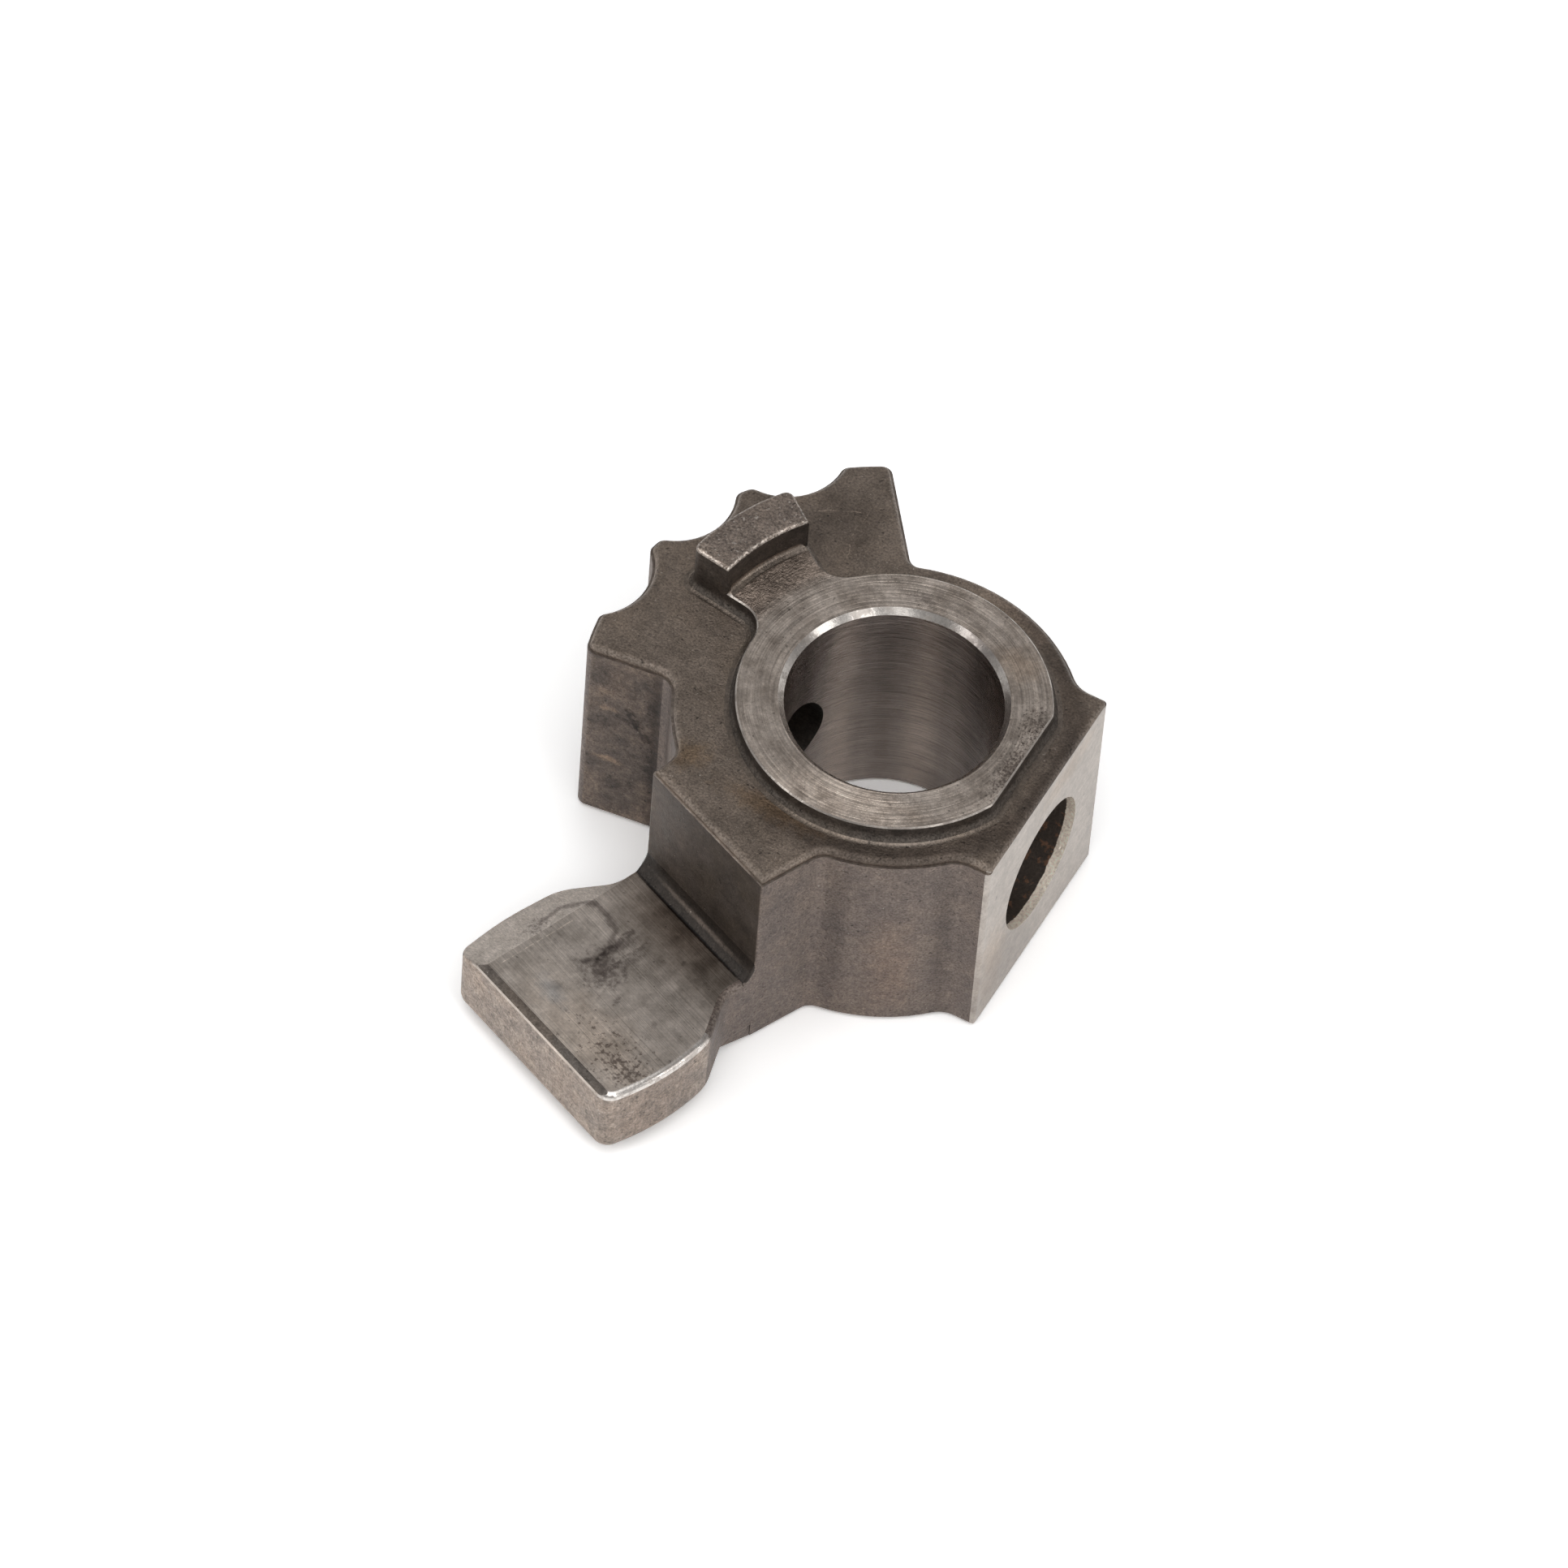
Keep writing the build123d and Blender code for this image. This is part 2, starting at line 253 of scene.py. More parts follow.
def make_forged_grain(desk: Desk, given: dict[str, Socket]) -> dict[str, Socket]:
    """Scale-marked skin of a forging: grain, mottle, clouds, wide tints, bright flecks and pits.

    Args:
        desk: The desk of the effect's group.
        given: The group's inputs by name.

    Returns:
        The group's outputs by name.
    """
    point = given["Point"]
    fine = desk.math("DIVIDE", 1.0, given["Grain size"])
    wide = desk.math("DIVIDE", 1.0, given["Cloud size"])
    aside = desk.vector("ADD", point, ASIDE)
    grain = desk.spread(desk.noise(point, fine, 3.0, 0.65))
    mottle = desk.spread(desk.noise(aside, desk.math("MULTIPLY", fine, 0.27), 3.0, 0.6))
    clouds = desk.spread(desk.noise(point, wide, 4.0, 0.62), 0.32, 0.68)
    tints = desk.ease(desk.noise(aside, desk.math("MULTIPLY", wide, 0.45), 3.0, 0.6), 0.4, 0.66)
    dents = desk.noise(aside, desk.math("MULTIPLY", fine, 0.5), 1.0, 0.4)
    pits = desk.ease(dents, desk.math("SUBTRACT", 0.78, given["Pits"]), 0.8)
    chips = desk.noise(desk.vector("ADD", point, APART), desk.math("MULTIPLY", fine, 0.8), 1.0, 0.5)
    flecks = desk.ease(chips, desk.math("SUBTRACT", 0.82, given["Flecks"]), 0.82)
    height = desk.math("SUBTRACT", desk.math("MULTIPLY_ADD", mottle, 1.4, grain), desk.math("MULTIPLY", pits, 1.5))
    return {
        "Grain": grain,
        "Mottle": mottle,
        "Clouds": clouds,
        "Tints": tints,
        "Pits": pits,
        "Flecks": flecks,
        "Height": height,
    }


def make_lathe_marks(desk: Desk, given: dict[str, Socket]) -> dict[str, Socket]:
    """Marks of a turning tool: rings round the bore on a face, or round its wall.

    Args:
        desk: The desk of the effect's group.
        given: The group's inputs by name.

    Returns:
        The group's outputs by name.
    """
    x, y, z = desk.parts(given["Point"])
    radius = desk.math("SQRT", desk.math("ADD", desk.math("MULTIPLY", x, x), desk.math("MULTIPLY", y, y)))
    face = given["Face"]
    stroke = desk.math("MULTIPLY", face, radius)
    stroke = desk.math("ADD", stroke, desk.math("MULTIPLY", desk.rest(face), z))
    across = desk.math("DIVIDE", stroke, given["Spacing"])
    reach = desk.math("DIVIDE", 1.0, given["Stroke length"])
    lane = desk.joined(across, desk.math("MULTIPLY", x, reach), desk.math("MULTIPLY", y, reach))
    marks = desk.spread(desk.noise(lane, 1.0, 2.0, 0.6))
    return {"Marks": marks, "Radius": radius}


def make_straight_marks(desk: Desk, given: dict[str, Socket]) -> dict[str, Socket]:
    """Straight marks of a milling cutter or a grinding wheel, laid at an angle across a face.

    Args:
        desk: The desk of the effect's group.
        given: The group's inputs by name.

    Returns:
        The group's outputs by name.
    """
    along, across, up = desk.parts(desk.turned(given["Point"], given["Angle"]))
    spacing = given["Spacing"]
    narrow = desk.math("DIVIDE", across, spacing)
    lane = desk.joined(desk.math("DIVIDE", along, given["Stroke length"]), narrow, desk.math("DIVIDE", up, spacing))
    return {"Marks": desk.spread(desk.noise(lane, 1.0, 2.0, 0.6))}


def make_stain(desk: Desk, given: dict[str, Socket]) -> dict[str, Socket]:
    """Patch round a point with a ragged edge, and the tide mark along that edge.

    Args:
        desk: The desk of the effect's group.
        given: The group's inputs by name.

    Returns:
        The group's outputs by name.
    """
    offset = desk.turned(desk.vector("SUBTRACT", given["Point"], given["Centre"]), given["Angle"])
    distance = desk.reading("LENGTH", desk.vector("DIVIDE", offset, given["Reach"]))
    edge = desk.noise(given["Point"], desk.math("DIVIDE", 1.0, given["Edge size"]), 3.0, 0.65)
    torn = desk.math("MULTIPLY_ADD", desk.math("SUBTRACT", edge, 0.5), given["Ragged"], distance)
    torn = desk.math("ADD", torn, given["Sparse"])
    patch = desk.rest(desk.ease(torn, given["Core"], 1.0))
    outside = desk.rest(desk.ease(torn, 0.96, 1.08))
    tide = desk.math("MULTIPLY", desk.ease(torn, 0.8, 0.94), outside)
    ahead = desk.math("DIVIDE", desk.parts(offset)[0], desk.parts(given["Reach"])[0])
    open_from = given["Open from"]
    ended = desk.rest(desk.ease(ahead, open_from, desk.math("ADD", open_from, 0.4)))
    return {"Patch": patch, "Tide mark": desk.math("MULTIPLY", tide, ended)}


def make_scratch(desk: Desk, given: dict[str, Socket]) -> dict[str, Socket]:
    """Thin, slightly wandering scratch between two points.

    Args:
        desk: The desk of the effect's group.
        given: The group's inputs by name.

    Returns:
        The group's outputs by name.
    """
    start = given["From"]
    point = given["Point"]
    wander = desk.math("MULTIPLY", desk.math("SUBTRACT", desk.noise(point, 0.7, 2.0), 0.5), given["Wander"])
    shifted = desk.vector("ADD", point, desk.joined(wander, wander, 0.0))
    run = desk.vector("SUBTRACT", given["To"], start)
    offset = desk.vector("SUBTRACT", shifted, start)
    share = desk.math("DIVIDE", desk.reading("DOT_PRODUCT", offset, run), desk.reading("DOT_PRODUCT", run, run))
    held = desk.add("ShaderNodeClamp", {"Value": share}).outputs[0]
    away = desk.reading("LENGTH", desk.vector("SUBTRACT", offset, desk.scale(run, held)))
    half = desk.math("MULTIPLY", given["Width"], 0.5)
    line = desk.rest(desk.ease(away, desk.math("MULTIPLY", half, 0.4), half))
    broken = desk.ease(desk.noise(point, 1.6, 2.0), 0.36, 0.56)
    return {"Line": desk.math("MULTIPLY", line, broken)}


def make_rim(desk: Desk, given: dict[str, Socket]) -> dict[str, Socket]:
    """Wear on the rounded rims between level and upright faces, broken up by a grain.

    Args:
        desk: The desk of the effect's group.
        given: The group's inputs by name.

    Returns:
        The group's outputs by name.
    """
    normal = desk.add("ShaderNodeTexCoord", {}).outputs["Normal"]
    tilt = desk.math("ABSOLUTE", desk.parts(normal)[2])
    fall = desk.rest(desk.ease(tilt, 0.8, 0.985))
    band = desk.math("MULTIPLY", desk.ease(tilt, 0.12, 0.55), fall)
    broken = desk.ease(given["Grain"], given["Break low"], given["Break high"])
    return {"Worn": desk.math("MULTIPLY", band, broken)}


POINT = Port("Point", Kind.VECTOR, (0.0, 0.0, 0.0))


class Effect(Enum):
    """Effects that more than one finish uses."""

    FORGED_GRAIN = Recipe(
        "forged grain",
        (
            POINT,
            Port("Grain size", value=0.2),
            Port("Cloud size", value=4.0),
            Port("Pits", value=0.1),
            Port("Flecks", value=0.1),
        ),
        (Port("Grain"), Port("Mottle"), Port("Clouds"), Port("Tints"), Port("Pits"), Port("Flecks"), Port("Height")),
        make_forged_grain,
    )
    LATHE_MARKS = Recipe(
        "lathe marks",
        (POINT, Port("Spacing", value=0.12), Port("Stroke length", value=6.0), Port("Face", value=1.0)),
        (Port("Marks"), Port("Radius")),
        make_lathe_marks,
    )
    STRAIGHT_MARKS = Recipe(
        "straight marks",
        (POINT, Port("Angle"), Port("Spacing", value=0.12), Port("Stroke length", value=8.0)),
        (Port("Marks"),),
        make_straight_marks,
    )
    STAIN = Recipe(
        "stain",
        (
            POINT,
            Port("Centre", Kind.VECTOR, (0.0, 0.0, 0.0)),
            Port("Reach", Kind.VECTOR, (1.0, 1.0, 1.0)),
            Port("Angle"),
            Port("Edge size", value=1.0),
            Port("Ragged", value=1.0),
            Port("Core", value=0.3),
            Port("Sparse"),
            Port("Open from", value=9.0),
        ),
        (Port("Patch"), Port("Tide mark")),
        make_stain,
    )
    SCRATCH = Recipe(
        "scratch",
        (
            POINT,
            Port("From", Kind.VECTOR, (0.0, 0.0, 0.0)),
            Port("To", Kind.VECTOR, (1.0, 0.0, 0.0)),
            Port("Width", value=0.1),
            Port("Wander", value=0.3),
        ),
        (Port("Line"),),
        make_scratch,
    )
    RIM = Recipe(
        "rim wear",
        (Port("Grain"), Port("Break low", value=0.2), Port("Break high", value=0.8)),
        (Port("Worn"),),
        make_rim,
    )


class Effects:
    """The shared effects, each built once and placed where a finish asks for it."""

    def __init__(self) -> None:
        """Starts with none built."""
        self.built: dict[Effect, bpy.types.NodeTree] = {}

    def place(self, desk: Desk, effect: Effect, feeds: dict[str, Feed]) -> bpy.types.Node:
        """Puts one effect on a desk.

        Args:
            desk: The desk of the material that uses the effect.
            effect: Which effect.
            feeds: What goes into its named inputs.

        Returns:
            The placed node, whose outputs have the effect's names.
        """
        if effect not in self.built:
            self.built[effect] = effect.value.build()
        return desk.add("ShaderNodeGroup", dict(feeds), node_tree=self.built[effect])


class Part(Enum):
    """Which part of a stain shows."""

    PATCH = "Patch"
    TIDE_MARK = "Tide mark"


class Mark:
    """Mark that tints what is under it, with sizes in millimetres and turns in degrees."""

    tint: Triple
    strength: float

    def mask(self, desk: Desk, effects: Effects, point: Socket) -> Socket:
        """Where the mark lies, from 0 to 1."""
        raise NotImplementedError

    def over(self, desk: Desk, effects: Effects, point: Socket, colour: Feed) -> Socket:
        """Lays the mark over a colour.

        Args:
            desk: The material's desk.
            effects: The shared effects.
            point: Place on the surface in millimetres.
            colour: The colour under the mark.

        Returns:
            The colour with the mark on it.
        """
        tinted = desk.vector("MULTIPLY", colour, self.tint)
        return desk.lay(self.mask(desk, effects, point), self.strength, colour, tinted)


@dataclass(frozen=True)
class Stain(Mark):
    """Patch with a ragged edge, or the tide mark along that edge."""

    centre: Triple
    reach: Triple
    tint: Triple
    strength: float
    turn: float = 0.0
    edge: float = 1.2
    ragged: float = 1.2
    core: float = 0.1
    sparse: float = 0.0
    part: Part = Part.PATCH
    open_from: float = 9.0

    def mask(self, desk: Desk, effects: Effects, point: Socket) -> Socket:
        """Where the stain lies, from 0 to 1.

        Args:
            desk: The material's desk.
            effects: The shared effects.
            point: Place on the surface in millimetres.

        Returns:
            The stain's mask.
        """
        feeds = {
            "Point": point,
            "Centre": self.centre,
            "Reach": self.reach,
            "Angle": math.radians(self.turn),
            "Edge size": self.edge,
            "Ragged": self.ragged,
            "Core": self.core,
            "Sparse": self.sparse,
            "Open from": self.open_from,
        }
        return effects.place(desk, Effect.STAIN, feeds).outputs[self.part.value]


@dataclass(frozen=True)
class Scratch(Mark):
    """Thin scratch between two points."""

    start: Triple
    end: Triple
    width: float
    tint: Triple
    strength: float
    wander: float

    def mask(self, desk: Desk, effects: Effects, point: Socket) -> Socket:
        """Where the scratch lies, from 0 to 1."""
        feeds = {"Point": point, "From": self.start, "To": self.end, "Width": self.width, "Wander": self.wander}
        return effects.place(desk, Effect.SCRATCH, feeds).outputs["Line"]


def arm_stain(along: float, across: float, reach: Pair, tint: Triple, strength: float, **more: object) -> Stain:
    """Stain on the finger's top, squared up with the arm.

    Args:
        along: Distance of its middle along the arm.
        across: Distance of its middle across the arm.
        reach: How far it reaches along and across the arm.
        tint: What it does to the colour under it.
        strength: How strongly it shows.
        **more: The stain's other settings.

    Returns:
        The stain.
    """
    return Stain(on_arm(along, across, FINGER_LEVEL), (*reach, MARK_DEPTH), tint, strength, turn=ARM_TURN, **more)


@dataclass(frozen=True)
class Skin:
    """What a finish feeds its shader with."""

    colour: Socket
    roughness: Socket
    height: Socket


@dataclass(frozen=True)
class Speckle:
    """Chips and pits of a surface: how light or dark they are beside it, and how strongly they show."""

    chip_tone: float
    chip_share: float
    pit_tone: float
    pit_share: float

    def over(self, desk: Desk, forged: Outputs, colour: Socket) -> Socket:
        """Lays the chips and then the pits over a colour."""
        colour = desk.lay(forged["Flecks"], self.chip_share, colour, desk.scale(colour, self.chip_tone))
        return desk.lay(forged["Pits"], self.pit_share, colour, desk.scale(colour, self.pit_tone))


@dataclass(frozen=True)
class Finish:
    """Steel surface of one kind, with its own marks."""

    name: str
    metallic: float = 1.0
    depth: float = 0.02
    marks: tuple[Mark, ...] = ()

    def skin(self, desk: Desk, effects: Effects, point: Socket) -> Skin:
        """Colour, roughness and height of the unmarked surface."""
        raise NotImplementedError

    def make(self, effects: Effects) -> bpy.types.Material:
        """Builds the finish as a material.

        Args:
            effects: The shared effects.

        Returns:
            The material.
        """
        material = bpy.data.materials.new(self.name)
        material.use_nodes = True
        material.node_tree.nodes.clear()
        desk = Desk(material.node_tree)
        point = desk.scale(desk.add("ShaderNodeTexCoord", {}).outputs["Object"], 1.0 / MM)
        skin = self.skin(desk, effects, point)
        colour = skin.colour
        for mark in self.marks:
            colour = mark.over(desk, effects, point, colour)
        bump = desk.add("ShaderNodeBump", {"Distance": self.depth * MM, "Height": skin.height})
        feeds = {
            "Base Color": colour,
            "Metallic": self.metallic,
            "Roughness": skin.roughness,
            "Normal": bump.outputs[0],
        }
        shader = desk.add("ShaderNodeBsdfPrincipled", feeds)
        desk.add("ShaderNodeOutputMaterial", {"Surface": shader.outputs[0]})
        return material


@dataclass(frozen=True, kw_only=True)
class ForgedSkin(Finish):
    """Dark, grainy skin that the forging die and the blasting left."""

    metallic: float = 0.75
    dark: Triple
    light: Triple
    brown: Triple
    worn: Triple
    rough: Pair = (0.42, 0.6)
    grain: float = 0.22
    cloud: float = 3.2
    contrast: float = 0.9
    mottle: float = 0.55
    browning: float = 0.6
    pits: float = 0.1
    pit_tone: float = 0.3
    pit_share: float = 0.8
    flecks: float = 0.12
    fleck_share: float = 0.55
    wear: float = 0.15

    def skin(self, desk: Desk, effects: Effects, point: Socket) -> Skin:
        """Clouds between dark and light, brown tints, speckle, pits, flecks, and wear on the rims.

        Args:
            desk: The material's desk.
            effects: The shared effects.
            point: Place on the surface in millimetres.

        Returns:
            What feeds the shader.
        """
        feeds = {
            "Point": point,
            "Grain size": self.grain,
            "Cloud size": self.cloud,
            "Pits": self.pits,
            "Flecks": self.flecks,
        }
        forged = effects.place(desk, Effect.FORGED_GRAIN, feeds).outputs
        colour = desk.blend(forged["Clouds"], self.dark, self.light)
        colour = desk.lay(forged["Tints"], self.browning, colour, self.brown)
        colour = desk.vary(colour, forged["Grain"], self.contrast)
        colour = desk.vary(colour, forged["Mottle"], self.mottle)
        rim = effects.place(desk, Effect.RIM, {"Grain": forged["Grain"]}).outputs["Worn"]
        colour = desk.lay(rim, self.wear, colour, self.worn)
        colour = desk.lay(forged["Flecks"], self.fleck_share, colour, self.worn)
        colour = desk.lay(forged["Pits"], self.pit_share, colour, desk.scale(colour, self.pit_tone))
        return Skin(colour, desk.between(forged["Clouds"], self.rough), forged["Height"])


@dataclass(frozen=True, kw_only=True)
class TurnedFace(Finish):
    """Faced ring round the bore, which runs out into the rougher bridge of the stop lug.

    Grain, mottle and relief each hold the value on the ring and the one on the bridge.
    """

    dark: Triple
    light: Triple
    bridge: Triple
    bridge_clouds: float = 0.7
    bridge_rough: float = 0.12
    bridge_span: Pair = (15.6, 17.6)
    rough: Pair = (0.2, 0.32)
    spacing: float = 0.17
    stroke: float = 9.0
    contrast: float = 0.6
    cloud: float = 2.6
    grain: Pair = (0.4, 0.9)
    mottle: Pair = (0.3, 0.5)
    relief: Pair = (0.35, 1.95)
    speckle: Speckle = Speckle(1.6, 0.6, 0.35, 0.7)

    def skin(self, desk: Desk, effects: Effects, point: Socket) -> Skin:
        """Turning marks over soft patches, fading into grain on the bridge.

        Args:
            desk: The material's desk.
            effects: The shared effects.
            point: Place on the surface in millimetres.

        Returns:
            What feeds the shader.
        """
        feeds = {"Point": point, "Spacing": self.spacing, "Stroke length": self.stroke, "Face": 1.0}
        lathe = effects.place(desk, Effect.LATHE_MARKS, feeds).outputs
        forged = effects.place(desk, Effect.FORGED_GRAIN, {"Point": point, "Cloud size": self.cloud}).outputs
        colour = desk.blend(forged["Clouds"], self.dark, self.light)
        colour = desk.vary(colour, lathe["Marks"], self.contrast)
        beyond = desk.ease(lathe["Radius"], *self.bridge_span)
        colour = desk.blend(beyond, colour, desk.vary(self.bridge, forged["Clouds"], self.bridge_clouds))
        colour = desk.vary(colour, forged["Grain"], desk.between(beyond, self.grain))
        colour = desk.vary(colour, forged["Mottle"], desk.between(beyond, self.mottle))
        colour = self.speckle.over(desk, forged, colour)
        roughness = desk.math("MULTIPLY_ADD", beyond, self.bridge_rough, desk.between(forged["Clouds"], self.rough))
        height = desk.math("MULTIPLY_ADD", forged["Height"], desk.between(beyond, self.relief), lathe["Marks"])
        return Skin(colour, roughness, height)


@dataclass(frozen=True, kw_only=True)
class BoredWall(Finish):
    """Finely turned wall of the bore."""

    dark: Triple
    light: Triple
    rough: Pair = (0.17, 0.23)
    spacing: float = 0.07
    stroke: float = 14.0
    contrast: float = 0.3
    patches_per_mm: float = 0.3

    def skin(self, desk: Desk, effects: Effects, point: Socket) -> Skin:
        """Fine rings round the wall over faint patches.

        Args:
            desk: The material's desk.
            effects: The shared effects.
            point: Place on the surface in millimetres.

        Returns:
            What feeds the shader.
        """
        feeds = {"Point": point, "Spacing": self.spacing, "Stroke length": self.stroke, "Face": 0.0}
        marks = effects.place(desk, Effect.LATHE_MARKS, feeds).outputs["Marks"]
        patches = desk.spread(desk.noise(point, self.patches_per_mm, 3.0, 0.6))
        colour = desk.vary(desk.blend(patches, self.dark, self.light), marks, self.contrast)
        return Skin(colour, desk.between(marks, self.rough), marks)


@dataclass(frozen=True, kw_only=True)
class DrilledWall(Finish):
    """Wall of the cross hole: rubbed bare at its mouth and made paler there as painted light, dark and rusty within,
    the dark partly painted shade.
    """

    mouth: Triple
    deep: Triple
    rust: Triple
    face_x: float = PAD_X
    bare: float = 1.0
    torn: float = 0.16
    edge: float = 0.05
    rusty: Pair = (0.6, 0.8)
    contrast: float = 0.6
    rough: Pair = (0.4, 0.6)

    def skin(self, desk: Desk, effects: Effects, point: Socket) -> Skin:
        """Bare band, made pale as painted light, up to a crisp edge, then a dark skin, partly painted shade, with rust
        spots.

        Args:
            desk: The material's desk.
            effects: The shared effects.
            point: Place on the surface in millimetres.

        Returns:
            What feeds the shader.
        """
        feeds = {"Point": point, "Grain size": 0.3, "Cloud size": 1.4, "Pits": 0.12}
        forged = effects.place(desk, Effect.FORGED_GRAIN, feeds).outputs
        inward = desk.math("SUBTRACT", self.face_x, desk.parts(point)[0])
        inward = desk.math("MULTIPLY_ADD", desk.math("SUBTRACT", forged["Clouds"], 0.5), self.torn, inward)
        within = desk.ease(inward, self.bare - self.edge, self.bare + self.edge)
        skinned = desk.blend(desk.ease(forged["Mottle"], *self.rusty), self.deep, self.rust)
        colour = desk.vary(desk.blend(within, self.mouth, skinned), forged["Grain"], self.contrast)
        return Skin(colour, desk.between(within, self.rough), forged["Height"])


@dataclass(frozen=True, kw_only=True)
class CutFace(Finish):
    """Flat face cut by a milling cutter or ground, with straight marks and a soft mottle."""

    dark: Triple
    light: Triple
    lay: float
    spacing: float
    contrast: float
    rough: Pair = (0.32, 0.48)
    stroke: float = 7.0
    cloud: float = 2.4
    grain: float = 0.22
    relief: float = 0.5
    speckle: Speckle = Speckle(1.5, 0.5, 0.45, 0.7)

    def skin(self, desk: Desk, effects: Effects, point: Socket) -> Skin:
        """Straight marks over patches and a light speckle.

        Args:
            desk: The material's desk.
            effects: The shared effects.
            point: Place on the surface in millimetres.

        Returns:
            What feeds the shader.
        """
        turn = math.radians(self.lay)
        feeds = {"Point": point, "Angle": turn, "Spacing": self.spacing, "Stroke length": self.stroke}
        cut = effects.place(desk, Effect.STRAIGHT_MARKS, feeds).outputs["Marks"]
        feeds = {"Point": point, "Grain size": 0.24, "Cloud size": self.cloud, "Pits": 0.05}
        forged = effects.place(desk, Effect.FORGED_GRAIN, feeds).outputs
        colour = desk.blend(forged["Clouds"], self.dark, self.light)
        for mask, span in ((cut, self.contrast), (forged["Grain"], self.grain), (forged["Mottle"], self.grain)):
            colour = desk.vary(colour, mask, span)
        colour = self.speckle.over(desk, forged, colour)
        height = desk.math("MULTIPLY_ADD", forged["Height"], self.relief, cut)
        return Skin(colour, desk.between(forged["Clouds"], self.rough), height)


@dataclass(frozen=True, kw_only=True)
class WornEdge(Finish):
    """Narrow edge rubbed bright, broken here and there by the dark skin."""

    bright: Triple
    dull: Triple
    rough: Pair = (0.45, 0.28)
    bare: Pair = (0.3, 0.6)
    contrast: float = 0.3

    def skin(self, desk: Desk, effects: Effects, point: Socket) -> Skin:
        """Bright metal with dull, rougher breaks.

        Args:
            desk: The material's desk.
            effects: The shared effects.
            point: Place on the surface in millimetres.

        Returns:
            What feeds the shader.
        """
        feeds = {"Point": point, "Grain size": 0.3, "Cloud size": 1.6, "Pits": 0.06}
        forged = effects.place(desk, Effect.FORGED_GRAIN, feeds).outputs
        shown = desk.ease(forged["Clouds"], *self.bare)
        colour = desk.vary(desk.blend(shown, self.dull, self.bright), forged["Grain"], self.contrast)
        return Skin(colour, desk.between(shown, self.rough), forged["Height"])


# Darkening tint: real soot and dirt in some marks, painted shade in others
SOOT_AND_SHADE = (0.42, 0.4, 0.4)
# Painted shade tint for the finger's top next to the arm's end wall
WALL_SHADE = (0.42, 0.37, 0.33)
CREASE_SHADE = (0.15, 0.14, 0.14)
RUST = (1.0, 0.87, 0.74)
# Lighter, warmer tint: a rust tone that also serves as a painted reflection band
RUST_AND_SHEEN = (1.25, 1.1, 0.98)
OLIVE = (1.06, 0.91, 0.71)
PALE = (1.5, 1.48, 1.45)
BRIGHT = (2.4, 2.4, 2.4)
SHINE = (4.5, 4.4, 4.3)
SAND = (1.9, 1.72, 1.5)
BLUED = (0.86, 0.95, 1.06)

# Painted shade: dark line along the crease where the end wall's foot meets the finger's top
CREASE = Stain(
    on_arm(25.02, 0.0, FINGER_LEVEL), (0.24, 12.0, 0.5), CREASE_SHADE, 1.0, turn=ARM_TURN, edge=0.6, ragged=0.5, core=0.5,
)

DECK = ForgedSkin(
    "forged deck",
    depth=0.03,
    marks=(
        Stain((-14.8, -15.2, BODY_TOP), (3.4, 2.6, 3.0), OLIVE, 0.8, turn=35.0),
        Stain((-3.8, -16.7, BODY_TOP), (8.5, 2.2, 3.0), OLIVE, 0.9),
        Stain((-15.3, -10.2, BODY_TOP), (1.8, 0.7, 2.0), PALE, 0.35, turn=-38.0, edge=0.4, ragged=2.0),
        Stain((17.2, 0.0, BODY_TOP), (1.3, 15.0, 3.0), SOOT_AND_SHADE, 0.5, edge=0.8),
        Stain((-15.5, 17.5, BODY_TOP), (7.0, 7.0, 3.0), SOOT_AND_SHADE, 0.42, edge=3.0),
        Stain((8.2, -15.6, BODY_TOP), (6.5, 2.2, 3.0), SOOT_AND_SHADE, 0.25, turn=28.0, edge=2.0),
        # Painted light: lighter strip on the deck behind the ring
        Stain((3.6, 16.6, BODY_TOP), (7.0, 2.8, 3.0), PALE, 1.0, turn=-12.0, edge=2.0, core=0.3),
        Stain(
            (0.0, 0.0, BODY_TOP), (18.9, 18.9, 9.0), SOOT_AND_SHADE, 0.75, turn=165.0, edge=2.0, ragged=0.12,
            part=Part.TIDE_MARK, open_from=-0.1,
        ),
        Scratch((-18.6, 18.2, BODY_TOP), (-13.9, 20.7, BODY_TOP), 0.16, BRIGHT, 0.7, wander=1.6),
        Scratch((-13.9, 20.6, BODY_TOP), (-14.1, 17.2, BODY_TOP), 0.13, BRIGHT, 0.6, wander=1.2),
        Scratch((-14.1, 17.2, BODY_TOP), (-13.1, 14.6, BODY_TOP), 0.13, BRIGHT, 0.6, wander=1.2),
    ),
    dark=(0.136, 0.108, 0.087), light=(0.228, 0.184, 0.151), brown=(0.22, 0.172, 0.134), worn=(0.5, 0.44, 0.39),
    grain=0.24, cloud=3.6, contrast=0.85, mottle=0.28,
)
WALL = ForgedSkin(
    "forged wall",
    depth=0.03,
    marks=(
        # Painted reflection bands on the hub's curved front wall: a lighter, warmer band between two darker ones
        Stain(polar(HUB_R, -60.0, 9.0), (3.8, 3.8, 11.0), RUST_AND_SHEEN, 0.5, edge=3.0),
        Stain(polar(HUB_R, -77.0, 13.0), (1.7, 1.7, 20.0), SOOT_AND_SHADE, 0.4, edge=2.0, ragged=0.6),
        Stain(polar(HUB_R, -44.5, 13.0), (1.7, 1.7, 20.0), SOOT_AND_SHADE, 0.4, edge=2.0, ragged=0.6),
        # Painted shade in the corner where the hub's wall meets the sector's flank
        Stain((-19.8, -7.4, 13.0), (1.7, 2.0, 18.0), SOOT_AND_SHADE, 0.6, edge=2.0, ragged=0.6),
    ),
    dark=(0.122, 0.097, 0.085), light=(0.186, 0.15, 0.131), brown=(0.205, 0.161, 0.133), worn=(0.45, 0.41, 0.37),
    grain=0.24, mottle=0.3,
)
